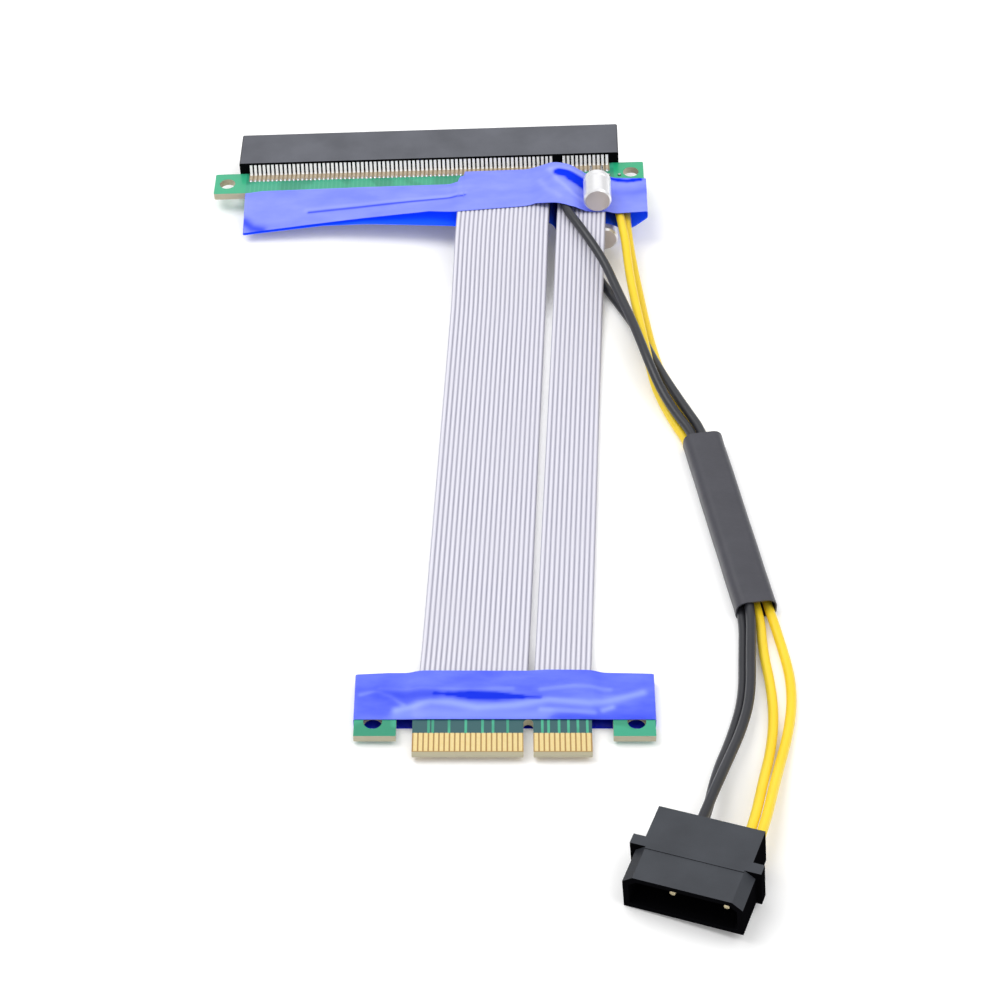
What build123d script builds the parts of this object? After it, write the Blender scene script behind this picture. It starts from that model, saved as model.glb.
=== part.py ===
from build123d import *
import os
from math import atan2, cos, degrees, pi, radians, sin, tan

# Flexible riser card: a board with a long card socket at the far end, flat ribbon
# cables lying on the table, a short edge connector board at the near end, and a
# four-way disk-drive power plug on four loose wires. Millimetres, +Z up, z = 0 is
# the table. +Y runs from the edge connector to the socket.

# Boards and flat cable
PCB_THICKNESS = 1.6
RIBBON_PITCH = 1.0
RIBBON_THICKNESS = 0.8
RIBBON_GROOVE = 0.2
LAYER_GAP = 0.05
CARD_SPAN = 184.4

# Card socket, on the upper board's edge
CONTACT_PITCH = 1.0
LONG_ROW_CONTACTS = 71
SHORT_ROW_CONTACTS = 11
KEY_STEP = 3.0
CONTACT_WIDTH = 0.6
CONTACT_THICKNESS = 0.2
CONTACT_DROP_RUN = 0.9
CONTACT_FOOT_REACH = 2.9
CONTACT_SEAT_DEPTH = 1.4
SOCKET_LENGTH = 88.4
SOCKET_THICKNESS = 7.5
SOCKET_DEPTH = 11.25
SOCKET_OUTER_WALL = 0.55
SOCKET_WEB_MARGIN = 0.3
SOCKET_CHAMFER = 0.3
SLOT_WIDTH = 1.8
SLOT_DEPTH = 7.6
SLOT_END_MARGIN = 0.825
SLOT_LEAD_IN = 0.5

# Upper board, as it lies: propped up at the right by the lower capacitor
UPPER_BOARD_LENGTH = 99.8
UPPER_BOARD_DEPTH = 7.6
UPPER_CORNER_RADIUS = 0.4
EAR_HOLE_RADIUS = 1.8
EAR_HOLE_INSET = 2.95
UPPER_YAW = -0.34
UPPER_PITCH = -1.98
UPPER_ROLL = -2.4

# Edge connector board
LONG_PADS = 21
SHORT_PADS = 11
PAD_PITCH = 1.0
PAD_WIDTH = 0.7
PAD_LENGTH = 4.45
PAD_THICKNESS = 0.05
PAD_TO_TIP = 0.6
KEY_TO_PAD = 1.5
KEY_WIDTH = 1.9
KEY_DEPTH = 8.4
KEY_TO_LONG_EDGE = 22.15
KEY_TO_SHORT_EDGE = 12.15
KEY_X = 21.93
LOWER_BOARD_DEPTH = 15.8
TONGUE_SIDE_DEPTH = 10.2
TONGUE_BEVEL = 0.45
LEG_WIDTH = 8.1
LEG_SETBACK = 4.3
LEG_GAP_LEFT = 3.1
LEG_GAP_RIGHT = 4.1
LEG_HOLE_RADIUS = 1.8
LEG_HOLE_EDGE = 3.6
LEG_HOLE_END = 3.6

# Places along the upper board, measured from its right end
WIDE_RIBBON_INSET = 31.95
WIRE_INSET = 18.9
NARROW_RIBBON_INSET = 14.0
UPPER_CAN_INSET = 10.9
LOWER_LEAD_INSET = 6.85
YELLOW_WIRE_INSETS = (6.4, 4.3)

# Ribbons: where they meet the boards and where they leave the table
RIBBON_OVERLAP = 2.6
WIDE_RIBBON_TO_KEY = 10.68
NARROW_RIBBON_TO_KEY = 6.6
RIBBON_HIGH_REACH = 13.4
RIBBON_DROP_RUN = 27.0
RIBBON_RISE_RUN = 16.0
RIBBON_DROP_STEPS = 6
RIBBON_RISE_STEPS = 4

# Blue tape
TAPE_THICKNESS = 0.1
TAPE_SLACK = 0.1
LOWER_TAPE_WIDTH = 11.9
LOWER_TAPE_SETBACK = 8.3
RIBBON_END_ROOM = 0.6
UPPER_TAPE_WIDTH = 12.7
UPPER_TAPE_INSET = 7.4
UPPER_TAPE_OVERHANG = 0.4
UPPER_TAPE_FOLD_INSET = 34.9
TAPE_DROOP = 2.75
TAPE_FOLD_DROOP = 1.15
TAPE_PINCH = 0.3
TAPE_SAG = 0.6
TAPE_SAG_LEAN = 2.5
TAPE_TENT_LEFT = 6.5
TAPE_TENT_RIGHT = 4.0

# Capacitors
CAN_RADIUS = 3.15
CAN_LENGTH = 7.7
CAN_ROLL_GROOVE = 0.25
CAN_RIM = 0.4
BUNG_RADIUS = 2.65
BUNG_LENGTH = 1.0
BUNG_CLEARANCE = 0.05
LEAD_RADIUS = 0.3
LEAD_SPACING = 2.5
LEAD_HOLE_RADIUS = 0.45
UPPER_CAN_FRONT = 20.4
UPPER_LEAD_SETBACK = 4.2
LOWER_CAN_FRONT = 21.7
LOWER_CAN_TO_LEADS = 2.6
LOWER_LEAD_SETBACK = 4.9

# Power wires, shrink sleeve and plug
WIRE_RADIUS = 1.0
WIRE_GAP = 0.03
WIRE_TO_RIBBON_END = 0.35
WIRE_TO_JOINT = 0.08
CHANNEL_GAP = 0.25
WIRE_LEAN = 0.6
SLEEVE_START = (59.4, -6.35)
SLEEVE_YAW = 9.5
SLEEVE_LENGTH = 49.3
SLEEVE_WIDTH = 8.4
SLEEVE_WALL = 0.3
SLEEVE_CLEARANCE = 0.07
SLEEVE_TOP_RADIUS = 2.1
SLEEVE_LOW_RADIUS = WIRE_RADIUS + SLEEVE_CLEARANCE + SLEEVE_WALL
PLUG_PLACE = (49.45, -129.6)
PLUG_YAW = -21.1
PLUG_ROLL = -5.0
PLUG_LENGTH = 17.5
PLUG_WIDTH = 22.6
PLUG_HEIGHT = 8.5
PLUG_WALL = 1.1
PLUG_CORNER_ACROSS = 1.98
PLUG_CORNER_DOWN = 1.65
SHELL_LENGTH = 9.8
CAVITY_DEPTH = 9.0
REAR_BLOCK_WIDTH = 20.3
REAR_BLOCK_DROP = 0.25
RIB_OVERHANG = 1.1
RIB_LENGTH = 2.2
RIB_SETBACK = 7.6
RIDGE_LENGTH = 0.5
RIDGE_RISE = 0.15
TERMINAL_PITCH = 5.08
TERMINAL_BORE_RADIUS = 2.15
PIN_HOLE_RADIUS = 1.3
PIN_RADIUS = 1.07
PIN_TIP_SETBACK = 2.0
PIN_COLLAR_RADIUS = 2.0
PIN_COLLAR_LENGTH = 1.0
PIN_BARREL_RADIUS = 1.6
PIN_SEAT_SETBACK = 11.0
PIN_BARREL_END = 14.5


# The same places across the upper board, and the ribbons' on the lower one
RIGHT_END = UPPER_BOARD_LENGTH / 2
WIDE_UPPER_X = RIGHT_END - WIDE_RIBBON_INSET
WIRE_X = RIGHT_END - WIRE_INSET
NARROW_UPPER_X = RIGHT_END - NARROW_RIBBON_INSET
UPPER_CAN_X = RIGHT_END - UPPER_CAN_INSET
LOWER_LEAD_X = RIGHT_END - LOWER_LEAD_INSET
YELLOW_WIRE_X = [RIGHT_END - inset for inset in YELLOW_WIRE_INSETS]
WIDE_LOWER_X = KEY_X - WIDE_RIBBON_TO_KEY
NARROW_LOWER_X = KEY_X + NARROW_RIBBON_TO_KEY


def riser_height():
    """Height of the socket's middle that lets its lowest corner touch the table."""
    across = SOCKET_LENGTH / 2 * sin(radians(abs(UPPER_ROLL))) * cos(radians(UPPER_PITCH))
    along = SOCKET_DEPTH * sin(radians(abs(UPPER_PITCH)))
    down = SOCKET_THICKNESS / 2 * cos(radians(UPPER_ROLL)) * cos(radians(UPPER_PITCH))
    return across + along + down


def plug_height():
    """Height of the plug's bottom middle that lets its lower rib touch the table."""
    return (PLUG_WIDTH / 2 + RIB_OVERHANG) * sin(radians(abs(PLUG_ROLL)))


# Frames of the tilted parts: x across, y away from the camera, z up
RISER_Y = CARD_SPAN / 2 - SOCKET_DEPTH
RISER = Plane(Location((0, RISER_Y, riser_height()), (UPPER_YAW, UPPER_PITCH, UPPER_ROLL), Intrinsic.ZXY))
PLUG = Plane(Location((*PLUG_PLACE, plug_height()), (PLUG_YAW, 0, PLUG_ROLL), Intrinsic.ZXY))

# Heights of the flat parts
TIP_Y = -CARD_SPAN / 2
LOWER_BOARD_Z = TAPE_THICKNESS + RIBBON_THICKNESS + 2 * LAYER_GAP
LOWER_BOARD_TOP = LOWER_BOARD_Z + PCB_THICKNESS
LOWER_FAR_Y = TIP_Y + LOWER_BOARD_DEPTH
HALF_BOARD = PCB_THICKNESS / 2


def riser_point(x, y, z):
    """A point given in the upper board's own frame."""
    return RISER.from_local_coords(Vector(x, y, z))


def plug_point(x, y, z):
    """A point given in the plug's own frame."""
    return PLUG.from_local_coords(Vector(x, y, z))


def face_plane(frame, x=0, y=0, z=0):
    """A plane across a frame's y axis, facing the camera: its own x and y are x and z there."""
    return Plane(frame.from_local_coords(Vector(x, y, z)), x_dir=frame.x_dir, z_dir=-frame.y_dir)


def side_plane(frame, x=0, y=0, z=0):
    """A plane across a frame's x axis: its own x and y are y and z there."""
    return Plane(frame.from_local_coords(Vector(x, y, z)), x_dir=frame.y_dir, z_dir=frame.x_dir)


def save(builder, name):
    """Names one finished piece and writes it."""
    builder.part.label = name
    export_step(builder.part, f"parts/{name}.step")


os.makedirs("parts", exist_ok=True)


# Contact places along the socket: the long row, the key, then the short row
def contact_places():
    span = (LONG_ROW_CONTACTS + SHORT_ROW_CONTACTS - 2) * CONTACT_PITCH + KEY_STEP
    long_row = [-span / 2 + i * CONTACT_PITCH for i in range(LONG_ROW_CONTACTS)]
    short_row = [span / 2 - i * CONTACT_PITCH for i in range(SHORT_ROW_CONTACTS)]
    return long_row, sorted(short_row)


LONG_ROW, SHORT_ROW = contact_places()
ROOT_Z = SOCKET_THICKNESS / 2 - SOCKET_OUTER_WALL - LAYER_GAP


def row_rectangles(margin, height):
    """A rectangle over each row of contacts, drawn in the current sketch."""
    for row in (LONG_ROW, SHORT_ROW):
        with Locations(((row[0] + row[-1]) / 2, 0)):
            Rectangle(row[-1] - row[0] + 2 * margin, height)


# Socket housing: a long bar with a keyed slot in its far face and contact recesses
# in its near face, above and below the web that the board's edge butts against
with BuildPart() as socket_housing:
    with BuildSketch(face_plane(RISER, y=SOCKET_DEPTH)):
        Rectangle(SOCKET_LENGTH, SOCKET_THICKNESS)
    extrude(amount=SOCKET_DEPTH)
    long_edges = socket_housing.edges().filter_by(Axis(RISER.origin, RISER.y_dir))
    chamfer(long_edges, SOCKET_CHAMFER)
    with BuildSketch(face_plane(RISER, y=SOCKET_DEPTH)):
        row_rectangles(SLOT_END_MARGIN, SLOT_WIDTH)
    extrude(amount=SLOT_DEPTH, mode=Mode.SUBTRACT)
    with BuildSketch(face_plane(RISER, y=SOCKET_DEPTH)):
        row_rectangles(SLOT_END_MARGIN, SLOT_WIDTH + 2 * SLOT_LEAD_IN)
    extrude(amount=SLOT_LEAD_IN, taper=45, mode=Mode.SUBTRACT)
    recess_low = HALF_BOARD + SOCKET_WEB_MARGIN
    recess_high = SOCKET_THICKNESS / 2 - SOCKET_OUTER_WALL
    for side in (1, -1):
        with BuildSketch(face_plane(RISER, z=side * (recess_low + recess_high) / 2)):
            row_rectangles(CONTACT_PITCH / 2, recess_high - recess_low)
        extrude(amount=-CONTACT_SEAT_DEPTH, mode=Mode.SUBTRACT)
save(socket_housing, "socket_housing")


def contact_outline(side):
    """Side view of one contact: root in the housing, slope, foot flat on the board."""
    foot_top = HALF_BOARD + CONTACT_THICKNESS
    slope = atan2(ROOT_Z - foot_top, CONTACT_DROP_RUN)
    shift = CONTACT_THICKNESS * tan(slope / 2)
    upper = [
        (CONTACT_SEAT_DEPTH, ROOT_Z),
        (0, ROOT_Z),
        (-CONTACT_DROP_RUN, foot_top),
        (-CONTACT_FOOT_REACH, foot_top),
    ]
    lower = [
        (-CONTACT_FOOT_REACH, HALF_BOARD),
        (-CONTACT_DROP_RUN + shift, HALF_BOARD),
        (shift, ROOT_Z - CONTACT_THICKNESS),
        (CONTACT_SEAT_DEPTH, ROOT_Z - CONTACT_THICKNESS),
    ]
    return [(y, side * z) for y, z in upper + lower]


def contact_rows(side):
    """Every contact on one face of the board."""
    with BuildPart() as contact:
        with BuildSketch(side_plane(RISER)):
            with BuildLine():
                Polyline(*contact_outline(side), close=True)
            make_face()
        extrude(amount=CONTACT_WIDTH / 2, both=True)
    with BuildPart() as rows:
        with Locations(*[RISER.x_dir * x for x in LONG_ROW + SHORT_ROW]):
            add(contact.part)
    return rows


save(contact_rows(1), "socket_contacts_top")
save(contact_rows(-1), "socket_contacts_bottom")

# Upper board: a narrow strip behind the socket, with a screw hole in each ear and
# four small holes for the capacitors' leads
UPPER_LEAD_HOLES = [(UPPER_CAN_X + s * LEAD_SPACING / 2, -UPPER_LEAD_SETBACK) for s in (-1, 1)]
LOWER_LEAD_HOLES = [(LOWER_LEAD_X + s * LEAD_SPACING / 2, -LOWER_LEAD_SETBACK) for s in (-1, 1)]
EAR_HOLES = [(s * (UPPER_BOARD_LENGTH / 2 - EAR_HOLE_INSET), -UPPER_BOARD_DEPTH / 2) for s in (-1, 1)]
with BuildPart() as upper_board:
    with BuildSketch(RISER.offset(-HALF_BOARD)) as outline:
        with Locations((0, -UPPER_BOARD_DEPTH / 2)):
            Rectangle(UPPER_BOARD_LENGTH, UPPER_BOARD_DEPTH)
        fillet(outline.vertices(), UPPER_CORNER_RADIUS)
        with Locations(*EAR_HOLES):
            Circle(EAR_HOLE_RADIUS, mode=Mode.SUBTRACT)
        with Locations(*UPPER_LEAD_HOLES, *LOWER_LEAD_HOLES):
            Circle(LEAD_HOLE_RADIUS, mode=Mode.SUBTRACT)
    extrude(amount=PCB_THICKNESS)
save(upper_board, "upper_board")

# Lower board: keyed tongue between two legs
TONGUE_LEFT = KEY_X - KEY_TO_LONG_EDGE
TONGUE_RIGHT = KEY_X + KEY_TO_SHORT_EDGE
BOARD_LEFT = TONGUE_LEFT - LEG_GAP_LEFT - LEG_WIDTH
BOARD_RIGHT = TONGUE_RIGHT + LEG_GAP_RIGHT + LEG_WIDTH
LEG_END_Y = TIP_Y + LEG_SETBACK
NECK_Y = TIP_Y + TONGUE_SIDE_DEPTH
LEG_HOLES = [
    (BOARD_LEFT + LEG_HOLE_EDGE, LEG_END_Y + LEG_HOLE_END),
    (BOARD_RIGHT - LEG_HOLE_EDGE, LEG_END_Y + LEG_HOLE_END),
]
with BuildPart() as lower_board:
    with BuildSketch(Plane.XY.offset(LOWER_BOARD_Z)):
        with BuildLine():
            Polyline(
                (BOARD_LEFT, LOWER_FAR_Y),
                (BOARD_LEFT, LEG_END_Y),
                (BOARD_LEFT + LEG_WIDTH, LEG_END_Y),
                (BOARD_LEFT + LEG_WIDTH, NECK_Y),
                (TONGUE_LEFT, NECK_Y),
                (TONGUE_LEFT, TIP_Y),
                (TONGUE_RIGHT, TIP_Y),
                (TONGUE_RIGHT, NECK_Y),
                (BOARD_RIGHT - LEG_WIDTH, NECK_Y),
                (BOARD_RIGHT - LEG_WIDTH, LEG_END_Y),
                (BOARD_RIGHT, LEG_END_Y),
                (BOARD_RIGHT, LOWER_FAR_Y),
                close=True,
            )
        make_face()
        with Locations((KEY_X, TIP_Y + KEY_DEPTH - KEY_WIDTH / 2)):
            Circle(KEY_WIDTH / 2, mode=Mode.SUBTRACT)
        with Locations((KEY_X, TIP_Y + (KEY_DEPTH - KEY_WIDTH / 2) / 2)):
            Rectangle(KEY_WIDTH, KEY_DEPTH - KEY_WIDTH / 2, mode=Mode.SUBTRACT)
        with Locations(*LEG_HOLES):
            Circle(LEG_HOLE_RADIUS, mode=Mode.SUBTRACT)
    extrude(amount=PCB_THICKNESS)
    tip_edges = lower_board.edges().filter_by(Axis.X).group_by(Axis.Y)[0]
    chamfer(tip_edges, TONGUE_BEVEL)
save(lower_board, "lower_board")


def pad_places():
    """Middle of each gold pad along the tongue."""
    long_pads = [KEY_X - KEY_TO_PAD - i * PAD_PITCH for i in range(LONG_PADS)]
    short_pads = [KEY_X + KEY_TO_PAD + i * PAD_PITCH for i in range(SHORT_PADS)]
    return [(x, TIP_Y + PAD_TO_TIP + PAD_LENGTH / 2) for x in long_pads + short_pads]


def edge_pads(z):
    """The gold pads on one face of the tongue, with their underside at z."""
    with BuildPart() as pads:
        with BuildSketch(Plane.XY.offset(z)):
            with Locations(*pad_places()):
                Rectangle(PAD_WIDTH, PAD_LENGTH)
        extrude(amount=PAD_THICKNESS)
    return pads


save(edge_pads(LOWER_BOARD_TOP), "edge_pads_top")
save(edge_pads(LOWER_BOARD_Z - PAD_THICKNESS), "edge_pads_bottom")


# Ribbon cables: each is a flat strip of joined conductors, soldered to one face of
# both boards, that drops from the upper board, lies on the table and climbs again
def eased(share):
    """0 to 1 with a level start and end."""
    return (1 - cos(pi * share)) / 2


def ribbon_stations(upper_x, lower_x, side):
    """Middle points of a ribbon and the direction across it, from the upper board on."""
    lift = side * (HALF_BOARD + RIBBON_THICKNESS / 2)
    board_y = -UPPER_BOARD_DEPTH + RIBBON_OVERLAP
    drop_y = -UPPER_BOARD_DEPTH - RIBBON_HIGH_REACH
    lower_end_y = LOWER_FAR_Y - RIBBON_OVERLAP
    slant = (upper_x - lower_x) / (riser_point(0, board_y, 0).Y - lower_end_y)
    table_across = Vector(1, -slant, 0).normalized()
    if side > 0:
        table_z = 1.5 * RIBBON_THICKNESS + LAYER_GAP
        board_z = LOWER_BOARD_TOP + RIBBON_THICKNESS / 2
    else:
        table_z = RIBBON_THICKNESS / 2
        board_z = LOWER_BOARD_Z - RIBBON_THICKNESS / 2
    stations = []
    for y in (board_y, (board_y + drop_y) / 2, drop_y):
        stations.append((riser_point(upper_x + slant * (y - board_y), y, lift), RISER.x_dir))
    high = stations[-1][0]
    for step in range(1, RIBBON_DROP_STEPS + 1):
        share = step / RIBBON_DROP_STEPS
        run = share * RIBBON_DROP_RUN
        fall = eased(share)
        place = Vector(high.X - slant * run, high.Y - run, high.Z + (table_z - high.Z) * fall)
        stations.append((place, (RISER.x_dir * (1 - fall) + table_across * fall).normalized()))
    low = stations[-1][0]
    rise_end = LOWER_FAR_Y + LAYER_GAP
    for step in range(RIBBON_RISE_STEPS + 1):
        share = step / RIBBON_RISE_STEPS
        y = rise_end + RIBBON_RISE_RUN * (1 - share)
        x = low.X + slant * (y - low.Y)
        stations.append((Vector(x, y, table_z + (board_z - table_z) * eased(share)), table_across))
    last = stations[-1][0]
    end = Vector(last.X + slant * (lower_end_y - last.Y), lower_end_y, board_z)
    stations.append((end, table_across))
    return stations


def ribbon_outline(conductors, side):
    """Section of a ribbon: flat where it faces its partner, ridged on its outer face."""
    half = RIBBON_THICKNESS / 2
    left = -conductors * RIBBON_PITCH / 2
    ridges = [(left, side * (half - RIBBON_GROOVE))]
    for i in range(conductors):
        ridges.append((left + (i + 0.5) * RIBBON_PITCH, side * half))
        ridges.append((left + (i + 1) * RIBBON_PITCH, side * (half - RIBBON_GROOVE)))
    return [*ridges, (-left, -side * half), (left, -side * half)]


def ribbon(conductors, upper_x, lower_x, side):
    """One ribbon cable, lofted through its stations."""
    stations = ribbon_stations(upper_x, lower_x, side)
    places = [place for place, _ in stations]
    with BuildPart() as strip:
        for i, (place, across) in enumerate(stations):
            ahead = places[min(i + 1, len(places) - 1)]
            behind = places[max(i - 1, 0)]
            with BuildSketch(Plane(place, x_dir=across, z_dir=behind - ahead)):
                with BuildLine():
                    Polyline(*ribbon_outline(conductors, side), close=True)
                make_face()
        loft(ruled=True)
    return strip


save(ribbon(LONG_PADS, WIDE_UPPER_X, WIDE_LOWER_X, 1), "ribbon_wide_top")
save(ribbon(LONG_PADS, WIDE_UPPER_X, WIDE_LOWER_X, -1), "ribbon_wide_bottom")
save(ribbon(SHORT_PADS, NARROW_UPPER_X, NARROW_LOWER_X, 1), "ribbon_narrow_top")
save(ribbon(SHORT_PADS, NARROW_UPPER_X, NARROW_LOWER_X, -1), "ribbon_narrow_bottom")


def tape_band(frame, sections):
    """A loop of tape: a thin wall outside the outlines, lofted from the far one to the
    near one. Each section is a place along the frame's y axis and an outline in x and z."""
    with BuildPart() as band:
        for grow, mode in ((TAPE_THICKNESS, Mode.ADD), (0, Mode.SUBTRACT)):
            for y, outline in sections:
                with BuildSketch(face_plane(frame, y=y)):
                    with BuildLine():
                        Polyline(*outline, close=True)
                    make_face()
                    if grow:
                        offset(amount=grow, kind=Kind.INTERSECTION)
            loft(ruled=True, mode=mode)
    return band


# Lower tape: once round the lower board and both layers of ribbon, flat on the board
# where it passes the ribbons' ends
def lower_tape_outline(rise):
    """Inside of the loop, seen from the camera's side: x and z."""
    left = BOARD_LEFT - LAYER_GAP
    right = BOARD_RIGHT + LAYER_GAP
    low = TAPE_THICKNESS
    over_board = LOWER_BOARD_TOP + LAYER_GAP
    ribbon_left = WIDE_LOWER_X - LONG_PADS * RIBBON_PITCH / 2 - 2 * LAYER_GAP
    ribbon_right = NARROW_LOWER_X + (SHORT_PADS + 1) * RIBBON_PITCH / 2
    return [
        (left, low),
        (left, over_board),
        (ribbon_left - 2 * RIBBON_THICKNESS, over_board),
        (ribbon_left, over_board + rise),
        (ribbon_right, over_board + rise),
        (ribbon_right + 2 * RIBBON_THICKNESS, over_board),
        (right, over_board),
        (right, low),
    ]


LOWER_TAPE_NEAR = TIP_Y + LOWER_TAPE_SETBACK
LOWER_TAPE_STATIONS = [
    (LOWER_TAPE_NEAR + LOWER_TAPE_WIDTH, lower_tape_outline(RIBBON_THICKNESS)),
    (LOWER_FAR_Y - RIBBON_OVERLAP - RIBBON_END_ROOM, lower_tape_outline(RIBBON_THICKNESS)),
    (LOWER_TAPE_NEAR, lower_tape_outline(TAPE_SLACK)),
]
save(tape_band(Plane.XY, LOWER_TAPE_STATIONS), "lower_tape")

# Upper tape: round the ribbons' roots and the board, with a tent over each black wire
# and a bulge under the yellow wires. Left of the ribbons its near edge hangs down.
WIRE_LIFT = HALF_BOARD + RIBBON_THICKNESS + WIRE_RADIUS + 2 * LAYER_GAP
YELLOW_LIFT = HALF_BOARD + WIRE_RADIUS + 2 * LAYER_GAP
TAPE_LEFT = UPPER_TAPE_INSET - RIGHT_END
TAPE_RIGHT = RIGHT_END + UPPER_TAPE_OVERHANG
TAPE_FOLD_X = UPPER_TAPE_FOLD_INSET - RIGHT_END
RIBBON_LEFT = WIDE_UPPER_X - LONG_PADS * RIBBON_PITCH / 2 - 1.0
RIBBON_RIGHT = NARROW_UPPER_X + SHORT_PADS * RIBBON_PITCH / 2 + 2 * LAYER_GAP


TAPE_FLAT = HALF_BOARD + LAYER_GAP
TAPE_OVER_RIBBON = TAPE_FLAT + RIBBON_THICKNESS


def upper_tape_outline(left, fold, root, sag):
    """Inside of the loop in the upper board's frame, x and z. The heights of its top and
    bottom layers are given at the left end, at the fold and beside the ribbons, and
    how far the bottom layer sags under the wires."""
    bump = WIRE_LIFT + WIRE_RADIUS + CHANNEL_GAP
    bulge = YELLOW_LIFT + WIRE_RADIUS + LAYER_GAP
    wire_left = WIRE_X - WIRE_RADIUS - CHANNEL_GAP
    wire_right = WIRE_X + WIRE_LEAN + WIRE_RADIUS + CHANNEL_GAP
    root_x = RIBBON_LEFT - RIBBON_THICKNESS
    top = [
        (TAPE_LEFT, left[0]),
        (TAPE_FOLD_X, fold[0]),
        (root_x, root[0]),
        (RIBBON_LEFT, TAPE_OVER_RIBBON),
        (wire_left - TAPE_TENT_LEFT, TAPE_OVER_RIBBON + TAPE_SLACK),
        (wire_left, bump),
        (wire_right, bump),
        (wire_right + TAPE_TENT_RIGHT, TAPE_OVER_RIBBON + TAPE_SLACK),
        (RIBBON_RIGHT, TAPE_OVER_RIBBON),
        (RIBBON_RIGHT + RIBBON_THICKNESS, TAPE_FLAT),
        (TAPE_RIGHT, TAPE_FLAT),
    ]
    under = [
        (TAPE_RIGHT, -TAPE_FLAT),
        (YELLOW_WIRE_X[1] + WIRE_RADIUS + CHANNEL_GAP, -bulge - sag),
        (YELLOW_WIRE_X[0] - 0.5 * WIRE_RADIUS + TAPE_SAG_LEAN * sag, -bulge - sag),
        (RIBBON_RIGHT, -TAPE_OVER_RIBBON),
        (wire_right + WIRE_RADIUS, -TAPE_OVER_RIBBON),
        (wire_right, -bump - sag),
        (wire_left, -bump - sag),
        (wire_left - WIRE_RADIUS, -TAPE_OVER_RIBBON),
        (RIBBON_LEFT, -TAPE_OVER_RIBBON),
        (root_x, root[1]),
        (TAPE_FOLD_X, fold[1]),
        (TAPE_LEFT, left[1]),
    ]
    return top + under


def upper_tape_stations():
    """Outlines at the socket, just past the board's near edge, and at the near edge."""
    flat = (TAPE_FLAT, -TAPE_FLAT)
    slack = (TAPE_FLAT + TAPE_SLACK, -TAPE_FLAT - TAPE_SLACK)
    over = (TAPE_OVER_RIBBON - TAPE_SLACK, TAPE_SLACK - TAPE_OVER_RIBBON)
    on_board = upper_tape_outline(flat, slack, flat, 0)
    end = (-TAPE_DROOP, -TAPE_DROOP - TAPE_PINCH)
    fold = (-TAPE_FOLD_DROOP, -TAPE_FOLD_DROOP - TAPE_PINCH)
    hanging = upper_tape_outline(end, fold, over, TAPE_SAG)
    past_board = -UPPER_BOARD_DEPTH - LAYER_GAP
    return [(0, on_board), (past_board, on_board), (past_board - UPPER_TAPE_WIDTH, hanging)]


def upper_tape_plan():
    """Plan of the tape in the upper board's frame: its uneven far and near edges."""
    edge = -UPPER_BOARD_DEPTH
    feet = -CONTACT_FOOT_REACH - 0.3
    near = edge - UPPER_TAPE_WIDTH
    return [
        (TAPE_LEFT - 1, edge - 0.15),
        (TAPE_LEFT + 1, edge - 0.15),
        (TAPE_LEFT + 4, edge + 0.4),
        (RIBBON_LEFT + 1.8, edge + 0.9),
        (RIBBON_LEFT + 1.8, feet),
        (WIRE_X - 2.5, feet),
        (UPPER_CAN_X - LEAD_SPACING, edge + 1.7),
        (TAPE_RIGHT + 1, edge + 0.7),
        (TAPE_RIGHT + 1, near + 1.1),
        (UPPER_CAN_X + 1.0, near + 0.4),
        (WIRE_X + 1.7, near + 0.1),
        (WIRE_X - 6.0, near + 3.4),
        (RIBBON_LEFT, near + 2.1),
        (RIBBON_LEFT - 6.0, near + 3.5),
        (TAPE_FOLD_X, near + 3.5),
        (TAPE_LEFT - 1, near + 1.4),
    ]


with BuildPart() as upper_tape:
    add(tape_band(RISER, upper_tape_stations()).part)
    with BuildSketch(RISER.offset(-SOCKET_THICKNESS)):
        with BuildLine():
            Polyline(*upper_tape_plan(), close=True)
        make_face()
    extrude(amount=2 * SOCKET_THICKNESS, mode=Mode.INTERSECT)
save(upper_tape, "upper_tape")


# Capacitors: an aluminium can with a rolled-in groove, closed by a rubber bung that
# its two leads come out of
def can(frame):
    """The can, along the frame's y axis from its closed front end at y = 0."""
    groove_y = CAN_LENGTH - BUNG_LENGTH - 2 * CAN_ROLL_GROOVE
    open_y = CAN_LENGTH - BUNG_LENGTH
    with BuildPart() as body:
        with BuildSketch(Plane(frame.origin, x_dir=frame.x_dir, z_dir=frame.z_dir)):
            with BuildLine():
                Polyline(
                    (0, 0),
                    (CAN_RADIUS - CAN_RIM, 0),
                    (CAN_RADIUS, CAN_RIM),
                    (CAN_RADIUS, groove_y - CAN_ROLL_GROOVE),
                    (CAN_RADIUS - CAN_ROLL_GROOVE, groove_y),
                    (CAN_RADIUS, groove_y + CAN_ROLL_GROOVE),
                    (CAN_RADIUS, CAN_LENGTH),
                    (BUNG_RADIUS + BUNG_CLEARANCE, CAN_LENGTH),
                    (BUNG_RADIUS + BUNG_CLEARANCE, open_y),
                    (0, open_y),
                    close=True,
                )
            make_face()
        revolve(axis=Axis(frame.origin, frame.y_dir))
    return body


def bung(frame):
    """The bung, seated on the can's inner shoulder and flush with its rim."""
    with BuildPart() as plug_piece:
        with BuildSketch(face_plane(frame, y=CAN_LENGTH)):
            Circle(BUNG_RADIUS)
        extrude(amount=BUNG_LENGTH)
    return plug_piece


def leads(routes):
    """Bent wire leads, one solid for each route."""
    with BuildPart() as pair:
        for points in routes:
            with BuildLine() as path:
                FilletPolyline(*points, radius=2 * LEAD_RADIUS)
            with BuildSketch(Plane(path.line @ 0, z_dir=path.line % 0)):
                Circle(LEAD_RADIUS)
            sweep(path=path.line)
    return pair


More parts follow.
